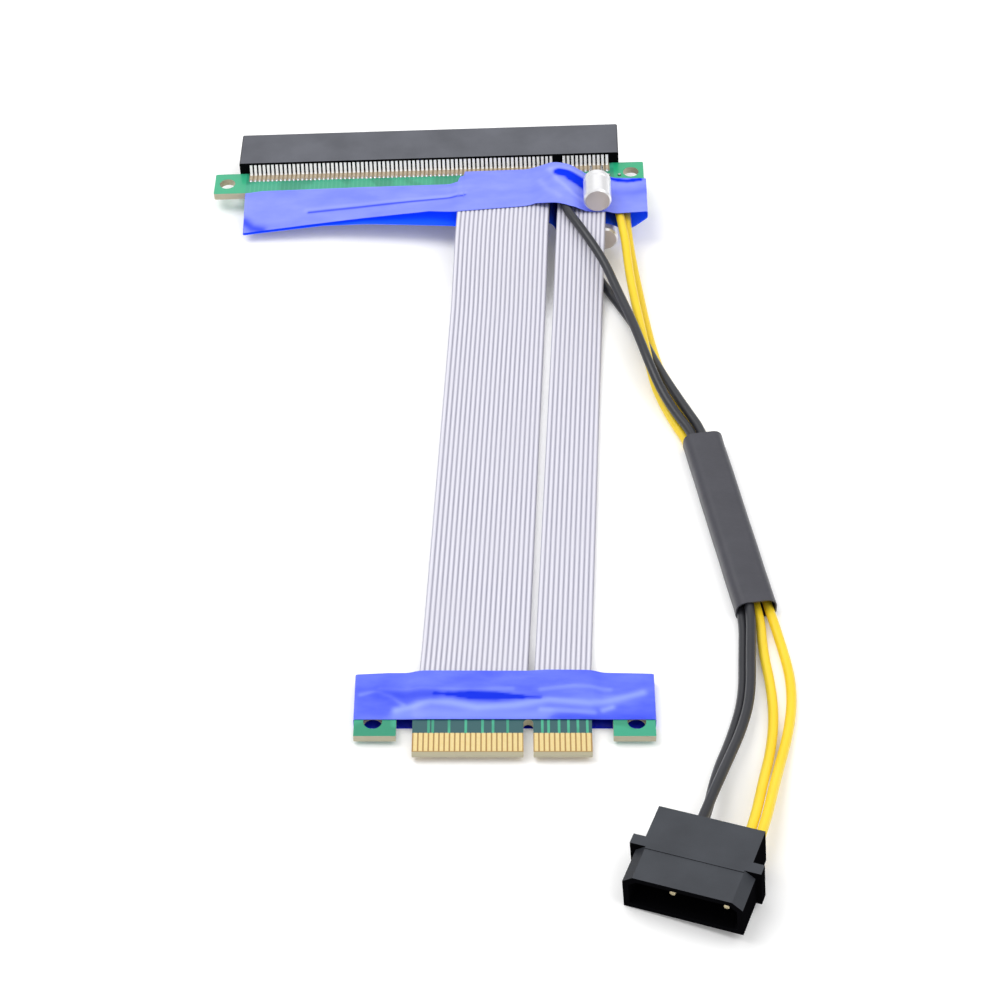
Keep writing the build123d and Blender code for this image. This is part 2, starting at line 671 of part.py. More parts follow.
UPPER_CAN_Z = TAPE_OVER_RIBBON + TAPE_SLACK + TAPE_THICKNESS + LAYER_GAP + CAN_RADIUS
UPPER_CAN = Plane(
    riser_point(UPPER_CAN_X, -UPPER_CAN_FRONT, UPPER_CAN_Z), x_dir=RISER.x_dir, z_dir=RISER.z_dir
)
LOWER_CAN_X = riser_point(LOWER_LEAD_X, 0, 0).X - LOWER_CAN_TO_LEADS
LOWER_CAN_PLACE = (LOWER_CAN_X, RISER_Y - LOWER_CAN_FRONT, CAN_RADIUS)
LOWER_CAN = Plane(LOWER_CAN_PLACE, x_dir=(1, 0, 0), z_dir=(0, 0, 1))
LEAD_TAIL = HALF_BOARD + 0.3


def upper_lead_routes():
    """From the bung back over the tape's edge and down through the board."""
    start_y = CAN_LENGTH - UPPER_CAN_FRONT
    routes = []
    for x, y in UPPER_LEAD_HOLES:
        local = [
            (x, start_y, UPPER_CAN_Z),
            (x, start_y + 2.2, UPPER_CAN_Z),
            (x, y, 0.6 * UPPER_CAN_Z),
            (x, y, -LEAD_TAIL),
        ]
        routes.append([riser_point(*point) for point in local])
    return routes


def lower_lead_routes():
    """From the bung back under the tape and up through the board."""
    routes = []
    for (x, y), side in zip(LOWER_LEAD_HOLES, (-1, 1)):
        can_x = side * LEAD_SPACING / 2
        routes.append(
            [
                LOWER_CAN.from_local_coords(Vector(can_x, CAN_LENGTH, 0)),
                LOWER_CAN.from_local_coords(Vector(can_x, CAN_LENGTH + 2.0, 0)),
                riser_point(x, y, -YELLOW_LIFT - WIRE_RADIUS - 0.7),
                riser_point(x, y, LEAD_TAIL),
            ]
        )
    return routes


save(can(UPPER_CAN), "capacitor_can_top")
save(bung(UPPER_CAN), "capacitor_bung_top")
save(leads(upper_lead_routes()), "capacitor_leads_top")
save(can(LOWER_CAN), "capacitor_can_bottom")
save(bung(LOWER_CAN), "capacitor_bung_bottom")
save(leads(lower_lead_routes()), "capacitor_leads_bottom")

# Shrink sleeve: a flattened tube round all four wires
SLEEVE_HALF_HEIGHT = 2 * WIRE_RADIUS + WIRE_GAP + SLEEVE_CLEARANCE + SLEEVE_WALL
SLEEVE_AXIS = Vector(sin(radians(SLEEVE_YAW)), -cos(radians(SLEEVE_YAW)), 0)
SLEEVE = Plane(
    (*SLEEVE_START, SLEEVE_HALF_HEIGHT),
    x_dir=(cos(radians(SLEEVE_YAW)), sin(radians(SLEEVE_YAW)), 0),
    z_dir=SLEEVE_AXIS,
)
with BuildPart() as shrink_sleeve:
    for inset, mode in ((0, Mode.ADD), (SLEEVE_WALL, Mode.SUBTRACT)):
        with BuildSketch(SLEEVE) as section:
            Rectangle(SLEEVE_WIDTH - 2 * inset, 2 * (SLEEVE_HALF_HEIGHT - inset))
            fillet(section.vertices().group_by(Axis.Y)[-1], SLEEVE_TOP_RADIUS - inset)
            fillet(section.vertices().group_by(Axis.Y)[0], SLEEVE_LOW_RADIUS - inset)
        extrude(amount=SLEEVE_LENGTH, mode=mode)
save(shrink_sleeve, "shrink_sleeve")

# Places of the four wires across the sleeve, at its start, middle and end: the
# yellow ones cross under the black ones inside it
LAYER = WIRE_RADIUS + WIRE_GAP
SLEEVE_LANES = {
    "black_a": [(-1.5, LAYER), (-2.1, LAYER), (-2.5, -LAYER)],
    "black_b": [(0.65, LAYER), (0.1, LAYER), (-1.1, LAYER)],
    "yellow_a": [(-2.7, -LAYER), (-0.3, -LAYER), (0.75, -LAYER)],
    "yellow_b": [(1.0, -LAYER), (2.55, -LAYER), (2.82, -LAYER)],
}


def sleeve_points(name):
    """Where a wire enters, crosses and leaves the sleeve."""
    along = (0, SLEEVE_LENGTH / 2, SLEEVE_LENGTH)
    lane = SLEEVE_LANES[name]
    return [SLEEVE.from_local_coords(Vector(u, v, w)) for (u, v), w in zip(lane, along)]


# Power plug: a pin housing with an open shell in front and four terminal bores
def plug_outline(inset):
    """Front view of the shell: flat bottom, two upper corners cut off."""
    half = PLUG_WIDTH / 2 - inset
    low = inset
    high = PLUG_HEIGHT - inset
    across = PLUG_CORNER_ACROSS - 0.4 * inset
    down = PLUG_CORNER_DOWN - 0.4 * inset
    return [
        (-half, low),
        (half, low),
        (half, high - down),
        (half - across, high),
        (-half + across, high),
        (-half, high - down),
    ]


TERMINALS = [(i - 1.5) * TERMINAL_PITCH for i in range(4)]
PIN_Z = PLUG_HEIGHT / 2
with BuildPart() as plug_housing:
    with BuildSketch(face_plane(PLUG, y=SHELL_LENGTH)):
        with BuildLine():
            Polyline(*plug_outline(0), close=True)
        make_face()
    extrude(amount=SHELL_LENGTH)
    rear_height = PLUG_HEIGHT - REAR_BLOCK_DROP
    with BuildSketch(face_plane(PLUG, y=PLUG_LENGTH, z=rear_height / 2)):
        Rectangle(REAR_BLOCK_WIDTH, rear_height)
    extrude(amount=PLUG_LENGTH - SHELL_LENGTH)
    with BuildSketch(face_plane(PLUG, y=RIB_SETBACK + RIB_LENGTH, z=PLUG_HEIGHT / 2)):
        Rectangle(PLUG_WIDTH + 2 * RIB_OVERHANG, PLUG_HEIGHT)
    extrude(amount=RIB_LENGTH)
    ridge_height = PLUG_HEIGHT + RIDGE_RISE
    with BuildSketch(face_plane(PLUG, y=RIB_SETBACK, z=ridge_height / 2)):
        Rectangle(PLUG_WIDTH - 2 * PLUG_CORNER_ACROSS, ridge_height)
    extrude(amount=RIDGE_LENGTH)
    with BuildSketch(face_plane(PLUG)):
        with BuildLine():
            Polyline(*plug_outline(PLUG_WALL), close=True)
        make_face()
    extrude(amount=-CAVITY_DEPTH, mode=Mode.SUBTRACT)
    with BuildSketch(face_plane(PLUG, y=PLUG_LENGTH, z=PIN_Z)):
        with Locations(*[(x, 0) for x in TERMINALS]):
            Circle(TERMINAL_BORE_RADIUS)
    extrude(amount=PLUG_LENGTH - PIN_SEAT_SETBACK, mode=Mode.SUBTRACT)
    with BuildSketch(face_plane(PLUG, y=PLUG_LENGTH, z=PIN_Z)):
        with Locations(*[(x, 0) for x in TERMINALS]):
            Circle(PIN_HOLE_RADIUS)
    extrude(amount=PLUG_LENGTH - CAVITY_DEPTH, mode=Mode.SUBTRACT)
save(plug_housing, "plug_housing")


def plug_pin(x):
    """A turned pin with the collar that seats in its bore and the crimped barrel."""
    origin = plug_point(x, 0, PIN_Z)
    with BuildPart() as pin:
        with BuildSketch(Plane(origin, x_dir=PLUG.x_dir, z_dir=PLUG.z_dir)):
            with BuildLine():
                Polyline(
                    (0, PIN_TIP_SETBACK),
                    (0.5 * PIN_RADIUS, PIN_TIP_SETBACK),
                    (PIN_RADIUS, PIN_TIP_SETBACK + 0.8 * PIN_RADIUS),
                    (PIN_RADIUS, PIN_SEAT_SETBACK),
                    (PIN_COLLAR_RADIUS, PIN_SEAT_SETBACK),
                    (PIN_COLLAR_RADIUS, PIN_SEAT_SETBACK + PIN_COLLAR_LENGTH),
                    (PIN_BARREL_RADIUS, PIN_SEAT_SETBACK + PIN_COLLAR_LENGTH),
                    (PIN_BARREL_RADIUS, PIN_BARREL_END),
                    (0, PIN_BARREL_END),
                    close=True,
                )
            make_face()
        revolve(axis=Axis(origin, PLUG.y_dir))
    return pin


GROUND_X = TERMINALS[1]
SUPPLY_X = TERMINALS[3]
save(plug_pin(GROUND_X), "ground_pin")
save(plug_pin(SUPPLY_X), "supply_pin")


def plug_points(x, z):
    """The last two points of a wire: just behind the plug, and at the pin's barrel."""
    return [plug_point(x, PLUG_LENGTH + 4.0, z), plug_point(x, PIN_BARREL_END, z)]


# Routes of the four wires, from the board through the sleeve to the plug
BLACK_END_Y = -UPPER_BOARD_DEPTH + RIBBON_OVERLAP + WIRE_TO_RIBBON_END
YELLOW_END_Y = -UPPER_BOARD_DEPTH + 0.6
UNDER_TAPE_Y = -12.2
BLACK_A = [
    riser_point(WIRE_X, BLACK_END_Y, WIRE_LIFT),
    riser_point(WIRE_X - 0.15, UNDER_TAPE_Y, WIRE_LIFT + 0.05),
    riser_point(WIRE_X + 0.5, -19.5, WIRE_LIFT + 0.15),
    Vector(35.1, 53.7, 10.75),
    Vector(39.8, 45.3, 8.6),
    Vector(42.5, 36.8, 7.3),
    Vector(45.1, 28.6, 6.8),
    Vector(47.1, 20.4, 6.8),
    Vector(48.9, 13.1, 6.3),
    Vector(51.2, 7.0, 4.4),
    Vector(54.0, 0.9, 3.5),
    *sleeve_points("black_a"),
    Vector(64.3, -66.4, 1.05),
    Vector(63.6, -77.0, 1.05),
    Vector(60.9, -86.8, 1.3),
    Vector(57.1, -97.1, 2.6),
    *plug_points(GROUND_X, PIN_Z - LAYER),
]
BLACK_B = [
    riser_point(WIRE_X, BLACK_END_Y, -WIRE_LIFT),
    riser_point(WIRE_X - 0.15, UNDER_TAPE_Y, -WIRE_LIFT - 0.05),
    riser_point(WIRE_X + 0.5, -19.5, -WIRE_LIFT - 0.05),
    Vector(35.2, 53.6, 2.9),
    Vector(40.2, 45.3, 1.1),
    Vector(44.6, 35.7, 1.2),
    Vector(47.4, 27.8, 2.4),
    Vector(49.6, 19.8, 3.0),
    Vector(52.1, 12.3, 3.35),
    Vector(55.8, 3.3, 3.43),
    *sleeve_points("black_b"),
    Vector(65.6, -66.4, 3.1),
    Vector(64.9, -78.0, 2.9),
    Vector(62.6, -86.8, 3.2),
    Vector(58.7, -97.1, 4.8),
    *plug_points(GROUND_X, PIN_Z + LAYER),
]
YELLOW_A = [
    riser_point(YELLOW_WIRE_X[0], YELLOW_END_Y, -YELLOW_LIFT),
    riser_point(YELLOW_WIRE_X[0], -10.4, -YELLOW_LIFT + 0.1),
    riser_point(YELLOW_WIRE_X[0] + 0.3, -15.6, -0.85),
    riser_point(YELLOW_WIRE_X[0] + 0.8, -21.5, -0.35),
    Vector(44.9, 53.6, 7.5),
    Vector(45.4, 45.3, 6.2),
    Vector(46.2, 37.6, 5.5),
    Vector(47.2, 29.6, 4.95),
    Vector(48.2, 21.4, 4.85),
    Vector(48.9, 15.6, 4.5),
    Vector(50.2, 10.0, 2.1),
    Vector(53.1, 2.0, 1.05),
    *sleeve_points("yellow_a"),
    Vector(68.2, -64.8, 1.05),
    Vector(69.2, -74.4, 1.02),
    Vector(69.1, -83.0, 1.02),
    Vector(67.8, -91.2, 1.4),
    Vector(65.9, -98.8, 3.0),
    *plug_points(SUPPLY_X - LAYER, PIN_Z),
]
YELLOW_B = [
    riser_point(YELLOW_WIRE_X[1], YELLOW_END_Y, -YELLOW_LIFT),
    riser_point(YELLOW_WIRE_X[1] + 0.1, -12.0, -YELLOW_LIFT - 0.1),
    riser_point(YELLOW_WIRE_X[1] - 0.1, -19.3, -YELLOW_LIFT - 0.15),
    Vector(45.9, 55.4, 5.0),
    Vector(46.8, 49.0, 2.8),
    Vector(47.8, 42.3, 1.3),
    Vector(48.8, 33.5, 1.03),
    Vector(50.2, 22.8, 1.02),
    Vector(52.3, 13.2, 1.02),
    Vector(55.0, 5.1, 1.05),
    *sleeve_points("yellow_b"),
    Vector(71.9, -63.0, 1.05),
    Vector(73.1, -71.3, 1.02),
    Vector(72.9, -78.8, 1.02),
    Vector(71.6, -86.0, 1.2),
    Vector(69.7, -93.2, 2.0),
    Vector(68.0, -99.6, 3.4),
    *plug_points(SUPPLY_X + LAYER, PIN_Z),
]


def bend_radii(points):
    """As large an arc at each corner as the two runs beside it leave room for."""
    radii = []
    for before, here, after in zip(points, points[1:], points[2:]):
        run_in = here - before
        run_out = after - here
        half_turn = radians(run_in.get_angle(run_out)) / 2
        radii.append(0.45 * min(run_in.length, run_out.length) / tan(half_turn))
    return radii


def wire(name, points):
    """One insulated wire, swept along straight runs joined by arcs."""
    radii = bend_radii(points)
    with BuildPart() as tube:
        with BuildLine() as path:
            FilletPolyline(*points, radius=radii)
        with BuildSketch(Plane(path.line @ 0, z_dir=path.line % 0)):
            Circle(WIRE_RADIUS)
        sweep(path=path.line)
    length = path.wire().length
    expected = pi * WIRE_RADIUS**2 * length
    print(name, "length", round(length, 1), "radii", [round(r, 1) for r in radii])
    print(name, "volume share", round(tube.part.volume / expected, 4))
    save(tube, name)


wire("black_wire_a", BLACK_A)
wire("black_wire_b", BLACK_B)
wire("yellow_wire_a", YELLOW_A)
wire("yellow_wire_b", YELLOW_B)


# Solder joints: one block of solder in front of each wire's end, standing on the board
JOINT_DEPTH = 1.1
JOINT_WIDTH = 1.6 * WIRE_RADIUS
JOINT_RISE = 0.6 * WIRE_RADIUS - HALF_BOARD


def joint_places():
    """For each wire: x, y, board face and height of its block of solder."""
    black_y = BLACK_END_Y + WIRE_TO_JOINT + JOINT_DEPTH / 2
    yellow_y = YELLOW_END_Y + WIRE_TO_JOINT + JOINT_DEPTH / 2
    blacks = [(WIRE_X, black_y, side, WIRE_LIFT + JOINT_RISE) for side in (1, -1)]
    return blacks + [(x, yellow_y, -1, YELLOW_LIFT + JOINT_RISE) for x in YELLOW_WIRE_X]


with BuildPart() as wire_solder_joints:
    for x, y, side, height in joint_places():
        foot = riser_point(x, y, side * HALF_BOARD)
        with BuildSketch(Plane(foot, x_dir=RISER.x_dir, z_dir=RISER.z_dir * side)):
            Rectangle(JOINT_WIDTH, JOINT_DEPTH)
        extrude(amount=height)
save(wire_solder_joints, "wire_solder_joints")
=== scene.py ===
import math

import bmesh
import bpy
from mathutils import Matrix, Vector, noise


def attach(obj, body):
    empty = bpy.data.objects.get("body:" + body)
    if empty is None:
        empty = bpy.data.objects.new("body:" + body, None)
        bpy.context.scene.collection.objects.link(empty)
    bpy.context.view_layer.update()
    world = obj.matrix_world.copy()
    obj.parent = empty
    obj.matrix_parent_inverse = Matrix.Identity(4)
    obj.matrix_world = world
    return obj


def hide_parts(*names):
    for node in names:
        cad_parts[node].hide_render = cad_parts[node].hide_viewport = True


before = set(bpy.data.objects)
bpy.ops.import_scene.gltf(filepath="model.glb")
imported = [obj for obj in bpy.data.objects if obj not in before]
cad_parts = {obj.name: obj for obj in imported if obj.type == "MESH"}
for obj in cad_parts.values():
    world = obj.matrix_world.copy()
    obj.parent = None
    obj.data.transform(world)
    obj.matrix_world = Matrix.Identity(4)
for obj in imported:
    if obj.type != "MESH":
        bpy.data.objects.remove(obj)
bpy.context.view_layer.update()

bl_info = {
    "name": "Flexible riser card",
    "version": (1, 0, 0),
    "blender": (4, 5, 0),
    "location": "View3D > Sidebar > Riser",
    "description": "Dresses a riser card with ribbon cables and a power plug",
    "category": "Object",
}

# Metres in a millimetre
MM = 0.001


# Colours and nodes
def linear(hex_colour):
    """An sRGB hex colour as linear red, green, blue and alpha."""
    values = [int(hex_colour[i : i + 2], 16) / 255 for i in (1, 3, 5)]
    bent = [v / 12.92 if v <= 0.04045 else ((v + 0.055) / 1.055) ** 2.4 for v in values]
    return (*bent, 1.0)


def add_node(tree, kind, inputs=None, **settings):
    """One node with its settings, its input values and its incoming links."""
    node = tree.nodes.new(kind)
    for name, value in settings.items():
        setattr(node, name, value)
    for name, value in (inputs or {}).items():
        if isinstance(value, bpy.types.NodeSocket):
            tree.links.new(value, node.inputs[name])
        else:
            node.inputs[name].default_value = value
    return node


def new_material(name, **shader_values):
    """A node material: returns it, its tree, its shader and its coordinates node."""
    material = bpy.data.materials.new(name)
    material.use_nodes = True
    tree = material.node_tree
    shader = tree.nodes["Principled BSDF"]
    for socket, value in shader_values.items():
        shader.inputs[socket.replace("_", " ")].default_value = value
    coords = add_node(tree, "ShaderNodeTexCoord")
    return material, tree, shader, coords


def grain(tree, coords, period_mm, detail=3.0, squeeze=None):
    """A noise texture whose features are about period_mm across, or less by each axis's
    squeeze."""
    vector = coords.outputs["Object"]
    if squeeze:
        vector = add_node(tree, "ShaderNodeMapping", {"Vector": vector, "Scale": squeeze}).outputs[0]
    scale = 1.0 / (period_mm * MM)
    return add_node(tree, "ShaderNodeTexNoise", {"Vector": vector, "Scale": scale, "Detail": detail})


def mix_colours(tree, factor, low, high):
    """A blend of two colours, each a hex value or a socket, by a factor socket."""
    node = add_node(tree, "ShaderNodeMix", {"Factor": factor}, data_type="RGBA")
    for socket, colour in ((node.inputs[6], low), (node.inputs[7], high)):
        if isinstance(colour, bpy.types.NodeSocket):
            tree.links.new(colour, socket)
        else:
            socket.default_value = linear(colour)
    return node.outputs[2]


def ramp(tree, factor, stops):
    """A colour ramp through (position, grey value) stops."""
    node = add_node(tree, "ShaderNodeValToRGB", {"Fac": factor})
    elements = node.color_ramp.elements
    while len(elements) < len(stops):
        elements.new(0.5)
    for element, (place, value) in zip(elements, stops):
        element.position = place
        element.color = (value, value, value, 1.0)
    return node.outputs["Color"]


def link_bump(tree, shader, height, depth_mm, strength=1.0):
    """Bump of a real depth from a height socket."""
    values = {"Height": height, "Distance": depth_mm * MM, "Strength": strength}
    bump = add_node(tree, "ShaderNodeBump", values)
    tree.links.new(bump.outputs["Normal"], shader.inputs["Normal"])


def roughen(tree, shader, coords, period_mm, depth_mm):
    """Bump in grains about period_mm across and depth_mm deep."""
    link_bump(tree, shader, grain(tree, coords, period_mm).outputs["Fac"], depth_mm)


def link_colour(tree, shader, socket):
    """Makes a socket the shader's colour."""
    tree.links.new(socket, shader.inputs["Base Color"])


def clouded(name, colour, light, roughness, period_mm):
    """A material of two shades that drift into each other in clouds."""
    material, tree, shader, coords = new_material(name, Roughness=roughness)
    cloud = grain(tree, coords, period_mm).outputs["Fac"]
    link_colour(tree, shader, mix_colours(tree, cloud, colour, light))
    return material, tree, shader, coords


def stepped(tree, value, low, high):
    """0 below low, 1 above high and a straight line between them."""
    values = {"Value": value, "From Min": low, "From Max": high}
    return add_node(tree, "ShaderNodeMapRange", values).outputs["Result"]


def multiply(tree, first, second):
    """The product of two values or sockets."""
    return add_node(tree, "ShaderNodeMath", {0: first, 1: second}, operation="MULTIPLY").outputs[0]


def add(tree, first, second):
    """The sum of two values or sockets."""
    return add_node(tree, "ShaderNodeMath", {0: first, 1: second}).outputs[0]


def normal_part(tree, axis):
    """How far a surface looks along one axis: 1, 0 across it and -1 against it."""
    normal = add_node(tree, "ShaderNodeNewGeometry").outputs["Normal"]
    return add_node(tree, "ShaderNodeSeparateXYZ", {"Vector": normal}).outputs[axis]


def facing_up(tree):
    """1 on faces that look up, 0 on the sides and underneath."""
    return stepped(tree, normal_part(tree, "Z"), 0.55, 0.85)


def level_face(tree):
    """1 on level faces, above or below, and 0 on upright ones."""
    tilt = add_node(tree, "ShaderNodeMath", {0: normal_part(tree, "Z")}, operation="ABSOLUTE").outputs[0]
    return stepped(tree, tilt, 0.75, 0.8)


def box_mask(tree, coords, left, right, near, far):
    """1 inside a box of x and y in the shared frame, in millimetres, with soft sides."""
    place = add_node(tree, "ShaderNodeSeparateXYZ", {"Vector": coords.outputs["Object"]})
    soft = 0.05 * MM
    mask = None
    for axis, low, high in (("X", left * MM, right * MM), ("Y", near * MM, far * MM)):
        value = place.outputs[axis]
        above = stepped(tree, value, low - soft, low + soft)
        below = stepped(tree, value, high + soft, high - soft)
        inside = multiply(tree, above, below)
        mask = inside if mask is None else multiply(tree, mask, inside)
    return mask


def riser_depth(tree, coords):
    """How far a point lies towards the socket's mouth from its near face, in metres."""
    ends = {0: coords.outputs["Object"], 1: tuple(RISER.translation)}
    away = add_node(tree, "ShaderNodeVectorMath", ends, operation="SUBTRACT").outputs["Vector"]
    axis = tuple((RISER.to_3x3() @ Vector((0, 1, 0))).normalized())
    along_axis = add_node(tree, "ShaderNodeVectorMath", {0: away, 1: axis}, operation="DOT_PRODUCT")
    return along_axis.outputs["Value"]


# Materials, each named for the real one
def moulded_plastic(name, side, top, roughness, sheen_from=0.0):
    """Glass-filled moulded plastic: near-black, with a painted sheen, greyer and faintly clouded, on the
    faces that look up into the light, from a height in millimetres on. Below that height the upward faces of
    recesses stay near-black: painted shade."""
    material, tree, shader, coords = new_material(name, Roughness=roughness)
    cloud = ramp(tree, grain(tree, coords, 9.0).outputs["Fac"], [(0.3, 0.75), (0.7, 1.0)])
    height = add_node(tree, "ShaderNodeSeparateXYZ", {"Vector": coords.outputs["Object"]}).outputs["Z"]
    # Painted sheen: upward faces above the height turn towards the lighter colour; below it they keep the
    # near-black as painted shade
    open_air = stepped(tree, height, (sheen_from - 0.5) * MM, sheen_from * MM)
    up = multiply(tree, facing_up(tree), open_air)
    tree.links.new(multiply(tree, up, 0.25), shader.inputs["Specular IOR Level"])
    painted_light = multiply(tree, up, cloud)
    link_colour(tree, shader, mix_colours(tree, painted_light, side, top))
    roughen(tree, shader, coords, 0.3, 0.02)
    return material


# In millimetres: along the upper board from the socket's near face, where the lands under the
# contacts end and where the contacts bend, the x limits of their row, and the y limits of
# the half of the shared frame that holds the upper board
LANDS_END = -3.1
CONTACT_BEND = -1.05
CONTACT_ROW = (-42.0, 42.0)
FAR_HALF = (0.0, 200.0)


def solder_mask(name, colour, light, laminate, zones=(), lands=None):
    """Green solder mask over glass fibre, deeper in patches over copper. Cut edges show the bare laminate.
    Each zone, a box in the shared frame, has a colour of its own, and so has the strip under the feet of the
    socket's contacts: beige for the tin of the lands, and a painted reflection in the gaps between them."""
    material, tree, shader, coords = new_material(name, Roughness=0.32, Coat_Weight=0.3)
    shader.inputs["Coat Roughness"].default_value = 0.15
    patches = grain(tree, coords, 7.0, detail=1.0)
    edges = ramp(tree, patches.outputs["Fac"], [(0.44, 0.0), (0.5, 1.0)])
    tone = mix_colours(tree, edges, colour, light)
    for box, zone_colour in zones:
        tone = mix_colours(tree, box_mask(tree, coords, *box), tone, zone_colour)
    # The strip under the contacts' feet: the lands' tin, with a painted reflection between them
    if lands:
        depth = riser_depth(tree, coords)
        beyond = stepped(tree, depth, (LANDS_END - 0.05) * MM, (LANDS_END + 0.05) * MM)
        row = box_mask(tree, coords, *CONTACT_ROW, *FAR_HALF)
        tone = mix_colours(tree, multiply(tree, beyond, row), tone, lands)
    link_colour(tree, shader, mix_colours(tree, level_face(tree), laminate, tone))
    roughen(tree, shader, coords, 0.5, 0.01)
    return material


def contact_metal(name, lit_slope, shaded_foot):
    """Tin plate on bronze: white on the bent run, a painted highlight, and beige with darker blotches on the
    feet, a painted shade and reflection.
    """
    material, tree, shader, coords = new_material(name, Metallic=0.1, Roughness=0.45)
    depth = riser_depth(tree, coords)
    on_slope = stepped(tree, depth, (CONTACT_BEND - 0.1) * MM, (CONTACT_BEND + 0.1) * MM)
    blotches = ramp(tree, grain(tree, coords, 1.1).outputs["Fac"], [(0.35, 0.0), (0.7, 0.35)])
    # The run is painted lit, white, and the feet painted shaded, beige: one tin
    painted_light = mix_colours(tree, blotches, shaded_foot, "#8a6f55")
    link_colour(tree, shader, mix_colours(tree, on_slope, painted_light, lit_slope))
    return material


def plated_metal(name, colour, dull, roughness, metallic=1.0):
    """Thin plate on metal: bright, with slightly dull, tarnished streaks."""
    material, tree, shader, coords = new_material(name, Metallic=metallic, Roughness=roughness)
    streaks = grain(tree, coords, 0.8)
    link_colour(tree, shader, mix_colours(tree, streaks.outputs["Fac"], colour, dull))
    values = {"Value": streaks.outputs["Fac"], "To Min": roughness * 0.7, "To Max": roughness * 1.4}
    spread = add_node(tree, "ShaderNodeMapRange", values)
    tree.links.new(spread.outputs["Result"], shader.inputs["Roughness"])
    return material


def drawn_aluminium(name, colour, dull, end):
    """Drawn aluminium can: satin white, with fine rings round its length, and greyer on the end that faces
    -y: a painted shade.
    """
    material, tree, shader, coords = new_material(name, Metallic=0.65, Roughness=0.34)
    rings = grain(tree, coords, 0.11111, detail=2.0, squeeze=(0.05, 1.0, 0.05))
    wall = mix_colours(tree, rings.outputs["Fac"], colour, dull)
    # Painted shade on the end that faces -y
    shaded_end = stepped(tree, normal_part(tree, "Y"), -0.85, -0.95)
    link_colour(tree, shader, mix_colours(tree, shaded_end, wall, end))
    link_bump(tree, shader, rings.outputs["Fac"], 0.006)
    return material


def ribbed_vinyl(name, ridge, groove, edge):
    """Grey ribbon cable vinyl: painted shade darkens it from the ridges into the grooves, and it is greyer in
    soft clouds.
    """
    material, tree, shader, coords = new_material(name, Roughness=0.42)
    across = add_node(tree, "ShaderNodeAttribute", attribute_name="ridge")
    # Painted shade: darker from the ridges into the grooves
    height = ramp(tree, across.outputs["Fac"], [(0.0, 0.0), (0.5, 0.2), (0.95, 1.0)])
    tone = mix_colours(tree, height, groove, ridge)
    cloud = ramp(tree, grain(tree, coords, 14.0).outputs["Fac"], [(0.35, 0.0), (0.8, 0.3)])
    link_colour(tree, shader, mix_colours(tree, cloud, tone, edge))
    roughen(tree, shader, coords, 0.6, 0.015)
    shader.inputs["Subsurface Weight"].default_value = 0.08
    shader.inputs["Subsurface Radius"].default_value = (0.0006, 0.0006, 0.0007)
    return material


def pvc_insulation(name, colour, light):
    """Extruded wire insulation: satin, in two close shades, and faintly uneven."""
    material, tree, shader, coords = clouded(name, colour, light, 0.36, 9.0)
    roughen(tree, shader, coords, 0.7, 0.02)
    return material


def shrink_tubing(name, colour, light):
    """Heat-shrunk tube: satin dark grey with a slight orange peel."""
    material, tree, shader, coords = clouded(name, colour, light, 0.4, 5.0)
    roughen(tree, shader, coords, 1.3, 0.05)
    return material


# The x limits, in millimetres, between which the film has only air behind it, and how strong the painted glow
# is that stands in there for the light through it
OPEN_LEFT = (-45.0, 7.0)
OPEN_RIGHT = (46.0, 52.0)
PAINTED_FILM_GLOW = 0.3


def tape_film(name, face, pale, deep, inside):
    """Blue polyester tape with a soft gloss. By the mesh's fold values, its raised folds are paler, a painted
    highlight, and its creases a deeper blue, a painted shade. Its adhesive side is a stronger blue and, in
    boxes where the film has only air behind it, glows a little: painted light in place of the light through
    the film."""
    material, tree, shader, coords = new_material(name, Roughness=0.34, Coat_Roughness=0.12)
    cloud = grain(tree, coords, 9.0909, detail=4.0, squeeze=(1.0, 2.6, 1.0))
    soft = ramp(tree, cloud.outputs["Fac"], [(0.35, 0.0), (0.75, 0.35)])
    tone = mix_colours(tree, soft, face, pale)
    fold = add_node(tree, "ShaderNodeAttribute", attribute_name="fold").outputs["Fac"]
    # Painted highlight on raised folds, painted shade in creases
    tone = mix_colours(tree, stepped(tree, fold, 0.0, 1.0), tone, pale)
    tone = mix_colours(tree, stepped(tree, fold, 0.0, -1.0), tone, deep)
    # Where shade is painted in a crease, the film has no sheen
    sheen = stepped(tree, fold, -1.0, 0.0)
    tree.links.new(multiply(tree, sheen, 0.5), shader.inputs["Specular IOR Level"])
    tree.links.new(multiply(tree, sheen, 0.15), shader.inputs["Coat Weight"])
    under = add_node(tree, "ShaderNodeAttribute", attribute_name="adhesive").outputs["Fac"]
    link_colour(tree, shader, mix_colours(tree, under, tone, inside))
    # Painted glow on the adhesive side, in place of light through the film
    shader.inputs["Emission Color"].default_value = linear(inside)
    left_part = box_mask(tree, coords, *OPEN_LEFT, *FAR_HALF)
    right_part = box_mask(tree, coords, *OPEN_RIGHT, *FAR_HALF)
    open_parts = add(tree, left_part, right_part)
    through = multiply(tree, multiply(tree, under, open_parts), PAINTED_FILM_GLOW)
    tree.links.new(through, shader.inputs["Emission Strength"])
    link_bump(tree, shader, cloud.outputs["Fac"], 0.12, strength=0.5)
    return material


def bung_rubber(name, colour, light):
    """Pressed rubber: dull, with faint grey clouds."""
    return clouded(name, colour, light, 0.75, 1.2)[0]


# Mesh helpers
def link_object(name, data, material):
    """An object of the scene with one material."""
    obj = bpy.data.objects.new(name, data)
    bpy.context.scene.collection.objects.link(obj)
    data.materials.append(material)
    return obj


